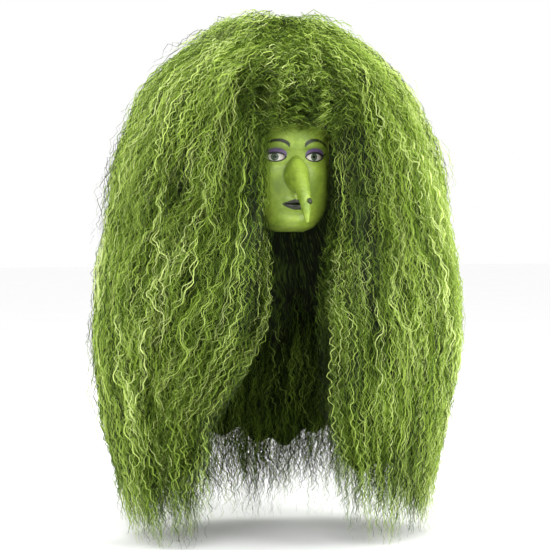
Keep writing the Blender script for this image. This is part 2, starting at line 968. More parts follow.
@dataclass
class HairForm:
    """The space that the hair fills, and a map of its outside by angle and by share of the way down."""

    MERIDIANS = 360
    EDGE_STEPS = 200
    HALVINGS = 24                        # steps of the search for the gap's edge

    outer: tuple[Station, ...] = (       # height, half width, reach in front of and behind the axis
        (0.224, 0.020, 0.020, 0.020),
        (0.214, 0.070, 0.062, 0.066),
        (0.196, 0.105, 0.093, 0.098),
        (0.172, 0.140, 0.124, 0.128),
        (0.140, 0.175, 0.148, 0.153),
        (0.105, 0.204, 0.164, 0.172),
        (0.050, 0.235, 0.173, 0.187),
        (0.000, 0.254, 0.179, 0.196),
        (-0.110, 0.272, 0.189, 0.200),
        (-0.227, 0.292, 0.204, 0.200),
        (-0.300, 0.293, 0.207, 0.198),
        (-0.360, 0.285, 0.207, 0.192),
        (-0.436, 0.270, 0.205, 0.182),
        (-0.560, 0.243, 0.192, 0.160),
        (-0.600, 0.238, 0.190, 0.156),
    )
    hollow: tuple[Station, ...] = (      # the same for the space of neck and shoulders
        (-0.060, 0.0905, 0.1295, 0.0905),
        (-0.130, 0.148, 0.138, 0.120),
        (-0.200, 0.228, 0.170, 0.156),
        (-0.270, 0.265, 0.186, 0.173),
        (-0.360, 0.266, 0.189, 0.173),
        (-0.480, 0.249, 0.185, 0.161),
        (-0.600, 0.232, 0.178, 0.144),
    )
    window: tuple[Station, ...] = (      # height, half width of the gap between the front locks
        (0.110, 0.052),
        (-0.060, 0.052),
        (-0.227, 0.046),
        (-0.390, 0.090),
        (-0.600, 0.118),
    )
    lean: tuple[Station, ...] = (        # height, how far that gap's middle lies to the left
        (-0.110, 0.0),
        (-0.200, -0.016),
        (-0.240, -0.022),
        (-0.300, -0.038),
        (-0.390, -0.062),
        (-0.600, -0.055),
    )
    valley: tuple[Station, ...] = ((0.105, 0.0), (0.060, 0.030), (0.030, 0.070), (-0.130, 0.070), (-0.260, 0.0))
    valley_spread: float = radians(20)
    roundness: float = 2.3
    cap_radius: float = 0.085
    cap_front: float = 0.124
    cap_shoulder: float = 0.030
    cap_rise: float = 0.0935
    cap_roundness: float = 2.5
    over_cap: float = 0.0050
    split: float = -0.060                # height where the hollow stops following the cap
    top: float = 0.226
    hem: float = -0.600
    grid: int = 161
    points: np.ndarray = field(init=False)
    normals: np.ndarray = field(init=False)
    lengths: np.ndarray = field(init=False)
    edge_heights: np.ndarray = field(init=False)
    edges: dict[int, np.ndarray] = field(init=False)

    def __post_init__(self) -> None:
        """Maps the outside: meridians at even angles, each cut into even steps from the crown to the hem."""
        turns = np.linspace(-pi, pi, self.MERIDIANS + 1)
        start = self.top - 0.0005
        down = start - (start - self.hem) * np.linspace(0, 1, 400) ** 1.6
        dense = self.outside(turns[:, None], down[None, :])
        steps = np.linalg.norm(np.diff(dense, axis=1), axis=-1)
        gone = np.concatenate([np.zeros((len(turns), 1)), np.cumsum(steps, 1)], 1)
        even = np.linspace(0, 1, self.grid)
        self.lengths = gone[:, -1]
        self.points = np.stack(
            [np.stack([np.interp(even * g[-1], g, p[:, k]) for k in range(3)], -1) for g, p in zip(gone, dense)]
        )
        around = np.gradient(self.points, axis=0)
        below = np.gradient(self.points, axis=1)
        self.normals = unit(np.cross(around, below))
        self.normals[:, :2] = (0, 0, 1)
        heights = np.linspace(self.hem, 0.112, self.EDGE_STEPS)
        self.edge_heights, self.edges = heights, {}
        for side in (-1, 1):
            low, high = np.zeros(self.EDGE_STEPS), np.full(self.EDGE_STEPS, radians(80))
            wanted = straight(self.window, heights) + side * straight(self.lean, heights)
            for _ in range(self.HALVINGS):
                middle = (low + high) / 2
                near = self.outside(pi - middle, heights)[:, 0] < wanted
                low, high = np.where(near, middle, low), np.where(near, high, middle)
            self.edges[side] = low

    def outside(self, angle: np.ndarray, z: np.ndarray) -> np.ndarray:
        """Points of the outer surface.

        Args:
            angle: Angles from straight back, in radians.
            z: Heights.

        Returns:
            The points.
        """
        angle, z = np.broadcast_arrays(angle, z)
        size = through(self.outer, z)
        off = (angle % (2 * pi) - pi) / self.valley_spread
        front = size[..., 1] - straight(self.valley, z) * np.exp(-(off**2) / 2)
        flat = plan(angle, size[..., 0], np.where(np.cos(angle) > 0, size[..., 2], front), self.roundness)
        return np.concatenate([flat, z[..., None]], -1)

    def inside(self, angle: np.ndarray, z: np.ndarray) -> np.ndarray:
        """Points of the inner surface: over the cap, then round the neck and shoulders.

        Args:
            angle: Angles from straight back, in radians.
            z: Heights.

        Returns:
            The points.
        """
        angle, z = np.broadcast_arrays(angle, z)
        share = np.maximum(0, z - self.cap_shoulder) / (self.cap_rise + self.over_cap)
        narrow = np.sqrt(np.maximum(1e-6, 1 - share**2))
        behind = np.cos(angle) > 0
        radius = (self.cap_radius + self.over_cap) * narrow
        front = (self.cap_front + self.over_cap) * narrow
        over = plan(angle, radius, np.where(behind, radius, front), np.where(behind, 2.0, self.cap_roundness))
        table = np.array(self.hollow)[::-1]
        size = [np.interp(z, table[:, 0], table[:, k]) for k in (1, 2, 3)]
        round_neck = plan(angle, size[0], np.where(behind, size[2], size[1]), self.roundness)
        flat = np.where((z >= self.split)[..., None], over, round_neck)
        return np.concatenate([flat, z[..., None]], -1)

    def at(self, angle: np.ndarray, share: np.ndarray) -> tuple[np.ndarray, np.ndarray]:
        """Points and normals of the outside, by angle and by share of the way down.

        Args:
            angle: Angles from straight back, in radians.
            share: Shares of the way down, of the same shape.

        Returns:
            Points and unit normals.
        """
        a = (angle + pi) / (2 * pi) % 1.0 * self.MERIDIANS
        i = np.minimum(a.astype(int), self.MERIDIANS - 1)
        b = np.clip(share, 0, 1) * (self.grid - 1)
        j = np.minimum(b.astype(int), self.grid - 2)
        fa, fb = (a - i)[..., None], (b - j)[..., None]
        found = []
        for table in (self.points, self.normals):
            near = table[i, j] * (1 - fb) + table[i, j + 1] * fb
            far = table[i + 1, j] * (1 - fb) + table[i + 1, j + 1] * fb
            found.append(near * (1 - fa) + far * fa)
        return found[0], unit(found[1])

    def edge(self, z: np.ndarray, side: np.ndarray | int) -> np.ndarray:
        """How far from straight ahead, in radians, the front locks begin at these heights: side is 1 on the left.

        Args:
            z: Heights.
            side: 1 for the left front lock, -1 for the right one.

        Returns:
            The angles.
        """
        right, left = (np.interp(z, self.edge_heights, self.edges[k]) for k in (-1, 1))
        return np.where(np.asarray(side) > 0, left, right) * (1 - ease(z, 0.125, 0.185))

    def parted(self, angle: np.ndarray, share: np.ndarray, clear: float, reach: float = radians(75)) -> np.ndarray:
        """Angles combed away from the face, clear of the gap between the front locks by this many radians.

        Args:
            angle: Angles from straight back, in radians.
            share: Shares of the way down, of the same shape.
            clear: Angle kept free beside the gap.
            reach: Angle from straight ahead within which hair is combed aside.

        Returns:
            The combed angles.
        """
        turned = (angle + pi) % (2 * pi) - pi
        side = np.where(turned[:, :1] >= 0, 1, -1)
        off = pi - np.abs(turned)
        z = self.at(angle, share)[0][..., 2]
        start = self.edge(z, side) + clear
        combed = np.where(off < reach, start + off * (reach - start) / reach, off)
        return side * (pi - combed)

    def swell(self, angle: np.ndarray, share: np.ndarray) -> np.ndarray:
        """Uneven fullness of the hair, from about -1 to 1.

        Args:
            angle: Angles from straight back, in radians.
            share: Shares of the way down, of the same shape.

        Returns:
            The fullness at each place.
        """
        return (
            0.45 * np.sin(5 * angle + 9 * share + 1.0)
            + 0.35 * np.sin(9 * angle - 21 * share + 0.4)
            + 0.30 * np.sin(14 * angle + 34 * share + 2.2)
        )


@dataclass(frozen=True)
class Strands:
    """Sizes of the fibres that a set of locks is made of, in metres."""

    count: int = 8
    spread: float = 0.012
    crimp: float = 0.0032
    coil: float = 0.6
    frizz: float = 0.0066
    width: float = 0.0011
    step: float = 0.0055


@dataclass(frozen=True)
class LockSet:
    """Locks that grow from one area of the head."""

    name: str
    angles: tuple[float, float]          # degrees from straight back
    roots: tuple[float, float]           # share of the way down where they start
    lengths: tuple[float, float]
    locks: int
    depths: tuple[float, float]          # metres from the hair's outside, inwards below zero
    tone: float
    seed: int
    strands: Strands = Strands()
    root_depth: float = -0.024
    tone_spread: float = 0.16
    wave: tuple[float, float] = (0.005, 0.014)
    beat: tuple[float, float] = (0.015, 0.024)
    tip_lift: tuple[float, float] = (-0.004, 0.010)
    face_shade: float = 0.34
    clear: float = 0.05                  # radians that the locks keep from the gap in front
    drift: tuple[float, float] = (-0.05, 0.62)      # radians that they fan out from the face on their way
    stray: float = 0.10
    bare: float = 0.0                    # share of a strand, from its root, that is left out of the dark roots


class StrandTree:
    """The node tree that grows crimped strands round guide curves."""

    SIZES = (
        ("Strands", "NodeSocketInt", 8),
        ("Spread", FLOAT, 0.012),
        ("Crimp", FLOAT, 0.003),
        ("Coil", FLOAT, 0.6),
        ("Frizz", FLOAT, 0.004),
        ("Width", FLOAT, 0.001),
        ("Step", FLOAT, 0.005),
        ("Seed", "NodeSocketInt", 1),
        ("Material", "NodeSocketMaterial", None),
    )

    def __init__(self) -> None:
        """Builds the tree: split each guide, spread, crimp, trim, and turn every strand into a ribbon."""
        self.tree = bpy.data.node_groups.new("crimped strands", "GeometryNodeTree")
        face = self.tree.interface
        face.new_socket("Geometry", in_out="INPUT", socket_type="NodeSocketGeometry")
        for label, kind, value in self.SIZES:
            socket = face.new_socket(label, in_out="INPUT", socket_type=kind)
            if value is not None:
                socket.default_value = value
        face.new_socket("Geometry", in_out="OUTPUT", socket_type="NodeSocketGeometry")
        self.w = Wiring(self.tree)
        self.given = self.w.node("NodeGroupInput").outputs
        self.salt = 0
        self.finish(self.shape(self.split()))

    def read(self, name: str, kind: str = "FLOAT") -> bpy.types.NodeSocket:
        """A value stored on the curves.

        Args:
            name: The attribute's name.
            kind: Its data type.

        Returns:
            The output socket.
        """
        made = self.w.node("GeometryNodeInputNamedAttribute", data_type=kind)
        made.inputs["Name"].default_value = name
        return made.outputs["Attribute"]

    def chance(self, low: float, high: float, key: bpy.types.NodeSocket) -> bpy.types.NodeSocket:
        """A random number for each strand.

        Args:
            low: Lowest number.
            high: Highest number.
            key: The strand's number.

        Returns:
            The output socket.
        """
        self.salt += 1
        made = self.w.node("FunctionNodeRandomValue", data_type="FLOAT")
        for socket in made.inputs:
            if socket.identifier == "Min_001":
                socket.default_value = low
            elif socket.identifier == "Max_001":
                socket.default_value = high
        self.w.plug(made.inputs["ID"], key)
        self.w.plug(made.inputs["Seed"], self.w.math("ADD", self.given["Seed"], self.salt))
        return made.outputs[1]

    def split(self) -> bpy.types.NodeSocket:
        """Guides as evenly cut curves, each repeated for its strands.

        Returns:
            The curves.
        """
        w = self.w
        curves = w.node("GeometryNodeMeshToCurve", {0: self.given["Geometry"]}).outputs[0]
        cut = w.node("GeometryNodeResampleCurve", mode="LENGTH")
        w.plug(cut.inputs["Curve"], curves)
        w.plug(cut.inputs["Length"], self.given["Step"])
        repeat = w.node("GeometryNodeDuplicateElements", domain="SPLINE")
        w.plug(repeat.inputs["Geometry"], cut.outputs[0])
        w.plug(repeat.inputs["Amount"], self.given["Strands"])
        return repeat.outputs["Geometry"]

    def shape(self, curves: bpy.types.NodeSocket) -> bpy.types.NodeSocket:
        """Spreads the strands of a lock and crimps them.

        Args:
            curves: The strands as plain curves.

        Returns:
            The strands in their places.
        """
        w, given = self.w, self.given
        strand = w.node("GeometryNodeCurveOfPoint").outputs["Curve Index"]
        out = self.read("out", "FLOAT_VECTOR")
        ahead = w.node("GeometryNodeInputTangent").outputs[0]
        side = w.vector("NORMALIZE", w.vector("CROSS_PRODUCT", ahead, out))
        length = w.node("GeometryNodeSplineParameter").outputs["Length"]
        along = self.read("along")
        free = w.band(along, 0.0, 0.12)
        wide = w.math("MULTIPLY", given["Spread"], self.read("room"))
        turn = w.math("MULTIPLY", w.math("DIVIDE", length, self.read("beat")), 2 * pi)
        turn = w.math("ADD", w.math("ADD", turn, self.read("phase")), self.chance(-1.0, 1.0, strand))
        height = w.math("MULTIPLY", w.math("MULTIPLY", given["Crimp"], self.chance(0.5, 1.35, strand)), free)
        sideways = w.math("MULTIPLY", w.math("SINE", turn), height)
        sideways = w.math("ADD", sideways, w.math("MULTIPLY", wide, self.chance(-1.0, 1.0, strand)))
        hand = w.math("MULTIPLY", w.math("SINE", self.read("phase")), 1.35)
        outwards = w.math("MULTIPLY", w.math("MULTIPLY", w.math("COSINE", turn), height), given["Coil"])
        outwards = w.math("MULTIPLY", outwards, hand)
        outwards = w.math("ADD", outwards, w.math("MULTIPLY", wide, self.chance(-0.6, 0.6, strand)))
        place = w.node("GeometryNodeInputPosition").outputs[0]
        cloud = w.node(
            "ShaderNodeTexNoise",
            {"Vector": place, "W": self.chance(0.0, 60.0, strand), "Scale": 58.0, "Detail": 3.0},
            noise_dimensions="4D",
        )
        loose = w.vector("SUBTRACT", cloud.outputs["Color"], (0.5, 0.5, 0.5))
        loose = w.vector("SCALE", loose, w.math("MULTIPLY", w.math("MULTIPLY", given["Frizz"], free), 4.0))
        offset = w.vector("ADD", w.vector("SCALE", side, sideways), w.vector("SCALE", out, outwards))
        moved = w.node("GeometryNodeSetPosition")
        w.plug(moved.inputs["Geometry"], curves)
        w.plug(moved.inputs["Offset"], w.vector("ADD", offset, loose))
        tone = w.math("ADD", self.read("tone"), self.chance(-0.32, 0.32, strand))
        shaded = w.node("GeometryNodeStoreNamedAttribute", data_type="FLOAT", domain="POINT")
        w.plug(shaded.inputs["Geometry"], moved.outputs[0])
        shaded.inputs["Name"].default_value = "shade"
        w.plug(shaded.inputs["Value"], w.node("ShaderNodeClamp", {0: tone, 1: 0.02, 2: 0.96}).outputs[0])
        trim = w.node("GeometryNodeTrimCurve", mode="FACTOR")
        w.plug(trim.inputs["Curve"], shaded.outputs[0])
        end = next(s for s in trim.inputs if s.name == "End" and s.enabled)
        w.plug(end, self.chance(0.74, 1.0, w.node("GeometryNodeInputIndex").outputs[0]))
        facing = w.node("GeometryNodeSetCurveNormal", mode="FREE")
        w.plug(facing.inputs["Curve"], trim.outputs[0])
        tilt = w.vector("SCALE", side, self.chance(-0.7, 0.7, strand))
        w.plug(facing.inputs["Normal"], w.vector("NORMALIZE", w.vector("ADD", out, tilt)))
        return facing.outputs[0]

    def finish(self, curves: bpy.types.NodeSocket) -> None:
        """Turns the strands into tapering ribbons, with their tone and their way along kept as a map.

        Args:
            curves: The strands in their places.
        """
        w, given = self.w, self.given
        strand = w.node("GeometryNodeCurveOfPoint").outputs["Curve Index"]
        flat = w.node("GeometryNodeCurvePrimitiveLine")
        flat.inputs["Start"].default_value = (-0.5, 0, 0)
        flat.inputs["End"].default_value = (0.5, 0, 0)
        way = w.node("GeometryNodeSplineParameter").outputs["Factor"]
        thin = w.math("SUBTRACT", 1.0, w.math("MULTIPLY", w.band(way, 0.7, 1.0), 0.75))
        wide = w.math("MULTIPLY", w.math("MULTIPLY", given["Width"], thin), self.chance(0.65, 1.35, strand))
        ribbon = w.node("GeometryNodeCurveToMesh")
        w.plug(ribbon.inputs["Curve"], curves)
        w.plug(ribbon.inputs["Profile Curve"], flat.outputs[0])
        w.plug(ribbon.inputs["Scale"], wide)
        even = w.math("MULTIPLY", w.math("MODULO", w.node("GeometryNodeInputIndex").outputs[0], 2.0), 0.006)
        first = w.node("GeometryNodeFieldOnDomain", data_type="FLOAT", domain="POINT")
        w.plug(first.inputs[0], w.math("ADD", self.read("shade"), even))
        second = w.math("MULTIPLY_ADD", self.read("along"), 0.97, 0.015)
        stored = w.node("GeometryNodeStoreNamedAttribute", data_type="FLOAT2", domain="CORNER")
        w.plug(stored.inputs["Geometry"], ribbon.outputs[0])
        stored.inputs["Name"].default_value = BAKE_MAP
        pair = w.node("ShaderNodeCombineXYZ", {0: first.outputs[0], 1: second}).outputs[0]
        w.plug(next(s for s in stored.inputs if s.name == "Value" and s.enabled), pair)
        whole = w.node("GeometryNodeRealizeInstances", {0: stored.outputs[0]}).outputs[0]
        dressed = w.node("GeometryNodeSetMaterial")
        w.plug(dressed.inputs["Geometry"], whole)
        w.plug(dressed.inputs["Material"], given["Material"])
        leave = w.node("NodeGroupOutput")
        w.plug(leave.inputs[0], dressed.outputs[0])

    def grow(self, guides: bpy.types.Object, name: str, sizes: dict[str, object]) -> bpy.types.Object:
        """Runs the tree on guide curves and keeps the result as a plain mesh.

        Args:
            guides: A mesh of edges with the values that the tree reads.
            name: The new piece's name.
            sizes: Values of the tree's inputs by name.

        Returns:
            The piece.
        """
        modifier = guides.modifiers.new("strands", "NODES")
        modifier.node_group = self.tree
        for item in self.tree.interface.items_tree:
            if item.item_type == "SOCKET" and item.in_out == "INPUT" and item.name in sizes:
                modifier[item.identifier] = sizes[item.name]
        bpy.context.view_layer.update()
        whole = guides.evaluated_get(bpy.context.evaluated_depsgraph_get())
        mesh = bpy.data.meshes.new_from_object(whole)
        mesh.name = name
        piece = bpy.data.objects.new(name, mesh)
        bpy.context.scene.collection.objects.link(piece)
        guides.modifiers.remove(modifier)
        old = guides.data
        bpy.data.objects.remove(guides)
        bpy.data.meshes.remove(old)
        for label in ("out", "along", "room", "phase", "beat", "tone", "shade"):
            if label in mesh.attributes:
                mesh.attributes.remove(mesh.attributes[label])
        mesh.shade_smooth()
        return piece


def guide_mesh(points: np.ndarray, values: dict[str, np.ndarray]) -> bpy.types.Object:
    """Curves of equal point counts as a mesh of edges, with values on its points.

    Args:
        points: Points of each curve, curves by points by 3.
        values: Values by attribute name, one for each point or for each curve.

    Returns:
        The guides.
    """
    count, long = points.shape[:2]
    numbers = np.arange(count * long).reshape(count, long)
    edges = np.stack([numbers[:, :-1].ravel(), numbers[:, 1:].ravel()], 1)
    mesh = bpy.data.meshes.new("guides")
    mesh.from_pydata(points.reshape(-1, 3).tolist(), edges.tolist(), [])
    for name, value in values.items():
        kind = "FLOAT_VECTOR" if value.shape[-1] == 3 and value.ndim == 3 else "FLOAT"
        attribute = mesh.attributes.new(name, kind, "POINT")
        full = value if kind == "FLOAT_VECTOR" else np.broadcast_to(value, (count, long))
        label = "vector" if kind == "FLOAT_VECTOR" else "value"
        attribute.data.foreach_set(label, np.ascontiguousarray(full, np.float32).ravel())
    guides = bpy.data.objects.new("guides", mesh)
    bpy.context.scene.collection.objects.link(guides)
    return guides


class Hair:
    """All the hair of the wig: dense hair block by block, and the loose crimped strands over it."""

    GUIDE_POINTS = 26
    CROWN_HEM, UPPER_TOP = 0.1055, 0.105
    BACK, SIDE, FRONT = radians(28), radians(64), radians(104)      # where one block ends and the next begins
    ROOM = ((-0.314, -0.190, -0.616), (0.314, 0.234, 0.236))
    BRIGHT = Strands(count=6, spread=0.006, crimp=0.0036, frizz=0.0022, width=0.0016)

    def __init__(self, form: HairForm, fibre: bpy.types.Material, dense: bpy.types.Material) -> None:
        """Keeps the form and the two finishes.

        Args:
            form: The space that the hair fills.
            fibre: The strands' finish.
            dense: The finish of the hair under them.
        """
        self.form, self.fibre, self.dense = form, fibre, dense
        self.tree = StrandTree()

    def sets(self) -> list[LockSet]:
        """Every set of locks, from the crown down.

        Returns:
            The sets.
        """
        made = [
            LockSet("strands_crown_front", (86, 274), (0.0, 0.17), (0.24, 0.42), 180, (-0.014, 0.003), 0.62, 11,
                    bare=0.12),
            LockSet("strands_crown_back", (-94, 94), (0.0, 0.17), (0.26, 0.42), 110, (-0.014, 0.003), 0.56, 12,
                    bare=0.12),
            LockSet("whorl", (-180, 180), (0.0, 0.05), (0.10, 0.16), 60, (-0.004, 0.006), 0.60, 17,
                    Strands(spread=0.016, frizz=0.011), bare=0.14, root_depth=-0.006),
            LockSet("strands_back", (-30, 30), (0.15, 0.74), (0.24, 0.42), 110, (-0.013, 0.003), 0.52, 13),
        ]
        for side, sign in SIDES:
            seed = 20 if sign < 0 else 40
            rows = (
                ("front", (100, 179.5), 190, 0.55),
                ("side", (62, 104), 125, 0.60),
                ("back", (28, 66), 100, 0.54),
            )
            for k, (area, angles, locks, tone) in enumerate(rows):
                span = tuple(sign * a for a in angles)
                made.append(
                    LockSet(f"strands_{area}_{side}", span, (0.13, 0.75), (0.24, 0.42), locks, (-0.014, 0.003),
                            tone + 0.05 * sign, seed + k)
                )
            bright = tuple(sign * a for a in (60, 172))
            made.append(
                LockSet(f"bright_locks_{side}", bright, (0.04, 0.62), (0.24, 0.36), 36, (-0.002, 0.006), 0.80,
                        seed + 5, self.BRIGHT, tone_spread=0.08, wave=(0.008, 0.016), beat=(0.026, 0.040))
            )
            made.append(
                LockSet(f"face_frizz_{side}", tuple(sign * a for a in (170, 179.9)), (0.13, 0.62), (0.14, 0.28), 120,
                        (-0.046, 0.000), 0.32, seed + 6, Strands(count=8, spread=0.009, width=0.0009),
                        tone_spread=0.22, face_shade=0.0, clear=-0.025, root_depth=-0.030, drift=(0.0, 0.06),
                        stray=0.03)
            )
        inner = Strands(count=8, spread=0.012, crimp=0.0030, frizz=0.0050, width=0.0013, step=0.007)
        made.append(
            LockSet("strands_inside_back", (-64, 64), (0.42, 0.82), (0.26, 0.48), 170, (-0.036, -0.024), 0.36, 15,
                    inner, root_depth=-0.040, tip_lift=(-0.002, 0.012), face_shade=0.0)
        )
        for name, span, locks, seed in (("tips_front", (88, 272), 195, 63), ("tips_behind", (-96, 96), 215, 64)):
            made.append(
                LockSet(name, span, (0.52, 0.82), (0.30, 0.48), locks, (-0.030, 0.001), 0.42, seed,
                        Strands(spread=0.014, frizz=0.0050, width=0.0013, step=0.007), tone_spread=0.2)
            )
        loose = Strands(count=5, spread=0.015, crimp=0.0030, frizz=0.009, width=0.0006)
        made.append(
            LockSet("flyaways", (-180, 180), (0.0, 0.70), (0.14, 0.32), 200, (0.001, 0.013), 0.30, 61, loose,
                    tone_spread=0.25, tip_lift=(-0.002, 0.012))
        )
        return made

    def guides(self, lock_set: LockSet) -> bpy.types.Object:
        """Guide curves of a set: they come out from under their neighbours and fall round the head.

        Args:
            lock_set: The set.

        Returns:
            The guides.
        """
        rng = np.random.default_rng(lock_set.seed)
        count, v = lock_set.locks, np.linspace(0, 1, self.GUIDE_POINTS)[None, :]

        def draw(span: tuple[float, float]) -> np.ndarray:
            """One random number of a span for each guide.

            Args:
                span: Both ends of the span.

            Returns:
                The numbers, one row each.
            """
            return rng.uniform(min(span), max(span), (count, 1))

        angle = np.radians(draw(lock_set.angles))
        root, length = draw(lock_set.roots), draw(lock_set.lengths)
        length = np.minimum(length, rng.uniform(0.95, 1.025, (count, 1)) - root)
        share = root + v * length
        side = np.where((angle + pi) % (2 * pi) - pi >= 0, 1, -1)
        ahead = ease(np.abs((angle + pi) % (2 * pi) - pi), 1.0, 2.6)
        drift = draw(lock_set.drift) * ahead * (1 - ease(root, 0.25, 0.6)) + draw((-lock_set.stray, lock_set.stray))
        where = self.form.parted(angle - side * drift * v, share, lock_set.clear)
        radius = 0.24 * ease(share, -0.05, 0.35) + 0.03
        travel = 2 * pi * v * length / rng.uniform(0.09, 0.16, (count, 1)) + draw((0, 2 * pi))
        sway = draw(lock_set.wave) * np.sin(travel) * ease(v, 0.05, 0.35) + draw((-0.03, 0.03)) * v
        off = pi - np.abs((where + pi) % (2 * pi) - pi)
        near = ease(off, self.form.edge(self.form.at(where, share)[0][..., 2], side) + 0.02, 0.9)
        where = where + sway / radius * np.where(share > 0.22, near, 1.0)
        place, normal = self.form.at(where, share)
        layer = draw(lock_set.depths) + 0.007 * self.form.swell(where, share)
        start = lock_set.root_depth * (0.2 + 0.8 * ease(root, 0.0, 0.12))
        depth = start + (layer - start) * ease(v, 0.0, 0.25)
        depth = depth + draw(lock_set.tip_lift) * ease(v, 0.55, 1.0)
        place = place + normal * depth[..., None]
        place[..., 2] -= np.maximum(share - 1.0, 0) * 0.95
        place = np.clip(place, self.ROOM[0], self.ROOM[1])
        if lock_set.bare:
            over = (1.6 * ease(share, 0.0, 0.035) - 0.6)[..., None]
            place[..., :2] = (0, AXIS_Y) + (place[..., :2] - (0, AXIS_Y)) * over
        deep = (layer - lock_set.depths[1]) / 0.018
        tone = lock_set.tone + lock_set.tone_spread * rng.normal(0, 1, (count, 1)) + 0.26 * (deep + 0.35)
        high = ease(place[..., 2], -0.25, 0.02)
        framing = (1 - ease(off, 0.15, 0.95)) * high
        tone = tone - lock_set.face_shade * framing + 0.05 * self.form.swell(where * 1.7, share * 0.8)
        tone = tone - 0.07 * ease(-place[..., 2], 0.36, 0.52)
        values = {
            "out": normal,
            "along": lock_set.bare + (1 - lock_set.bare) * v,
            "room": 0.35 + lock_set.bare + 0.75 * ease(v, 0.0, 0.35) - 0.35 * ease(v, 0.7, 1.0),
            "phase": draw((0, 2 * pi)),
            "beat": draw(lock_set.beat),
            "tone": tone,
        }
        return guide_mesh(place, values)

    def fringe(
        self, seed: int, count: int, tops: tuple[float, float], tones: tuple[float, float], hang: float
    ) -> bpy.types.Object:
        """Guide curves of curls over the forehead.

        Args:
            seed: Seed of the random numbers.
            count: How many curls.
            tops: Lowest and highest root, as heights.
            tones: Darkest and lightest tone.
            hang: 1 for curls that reach the forehead, 0 for ones that hang only a little way.

        Returns:
            The guides.
        """
        rng = np.random.default_rng(seed)
        v = np.linspace(0, 1, 16)[None, :]
        start = rng.uniform(-0.060, 0.060, (count, 1))
        top = rng.uniform(*tops, (count, 1))
        low = 0.022 + 0.012 * np.cos(start / 0.060 * pi / 2) + rng.uniform(-0.006, 0.020, (count, 1))
        low = np.minimum(low + 0.4 * np.maximum(top - 0.13, 0), top - 0.03)
        low = low + (top - rng.uniform(0.035, 0.070, (count, 1)) - low) * (1 - hang)
        z = top + (low - top) * v
        x = start * (1 + 0.22 * v) + rng.uniform(-0.014, 0.014, (count, 1)) * np.sin(v * 2.5)
        angle = pi - np.arcsin(np.clip(x / 0.150, -0.9, 0.9))
        place = self.form.outside(angle, z)
        normal = unit(np.stack([x, -0.16 + 0 * x, 0.03 + 0.12 * (1 - hang) + 0 * x], -1))
        depth = rng.uniform(-0.008, 0.012, (count, 1)) - 0.010 * (1 - ease(v, 0, 0.3))
        place = place + normal * depth[..., None]
        values = {
            "out": normal,
            "along": 0.12 + 0.6 * v,
            "room": 0.5 + 0.6 * ease(v, 0, 0.5),
            "phase": rng.uniform(0, 2 * pi, (count, 1)),
            "beat": rng.uniform(0.015, 0.026, (count, 1)),
            "tone": rng.uniform(*tones, (count, 1)),
        }
        return guide_mesh(place, values)

    def grow(self, guides: bpy.types.Object, name: str, strands: Strands, seed: int) -> None:
        """Grows the strands of guides, as a piece of the wig.

        Args:
            guides: The guide curves.
            name: The piece's name.
            strands: Sizes of the fibres.
            seed: Seed of the random numbers.
        """
        sizes = {
            "Strands": strands.count,
            "Spread": strands.spread,
            "Crimp": strands.crimp,
            "Coil": strands.coil,
            "Frizz": strands.frizz,
            "Width": strands.width,
            "Step": strands.step,
            "Seed": seed * 100,
            "Material": self.fibre,
        }
        piece = self.tree.grow(guides, name, sizes)
        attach(piece, "wig")
        LOG.info("%s: %d faces", name, len(piece.data.polygons))

    def block(self, name: str, angle: np.ndarray, outer_z: np.ndarray, wrap: bool, inner_z: np.ndarray) -> None:
        """One block of dense hair between the hair's inner side and its loose strands.

        Args:
            name: The hair solid that it stands for.
            angle: Angles, rows by columns.
            outer_z: Heights of the outer side, of the same shape.
            wrap: Whether the columns close on themselves.
            inner_z: Heights of the inner side.
        """
        inner = self.form.inside(angle, inner_z)
        outer = self.form.outside(angle, outer_z)
        room = np.linalg.norm(outer - inner, axis=-1, keepdims=True)
        grooves = np.sin(angle * 41 + 2.2 * np.sin(outer_z * 31)) * np.sin(angle * 67 + outer_z * 26 + 1.3)
        share = 1 - np.minimum(0.5, (0.013 + 0.004 * grooves[..., None]) / room)
        low = ease(-outer_z, 0.30, 0.46)[..., None]
        outer = inner + (outer - inner) * share * (1 - 0.45 * low)
        inner = inner + (outer - inner) * 0.35 * low
        if not wrap:
            for grid in (inner, outer):
                grid[:, 0] += (grid[:, 1] - grid[:, 0]) * 0.05
                grid[:, -1] += (grid[:, -2] - grid[:, -1]) * 0.05
        piece = new_piece("dense_" + name, *slab(outer, inner, wrap), self.dense)
        turn_outwards(piece)
        points = coordinates(piece)
        around = np.arctan2(points[:, 0], AXIS_Y - points[:, 1])
        set_map(piece, "flow", np.stack([around * 0.7, points[:, 2] / 0.3], 1))
        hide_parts(name)
        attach(piece, "wig")

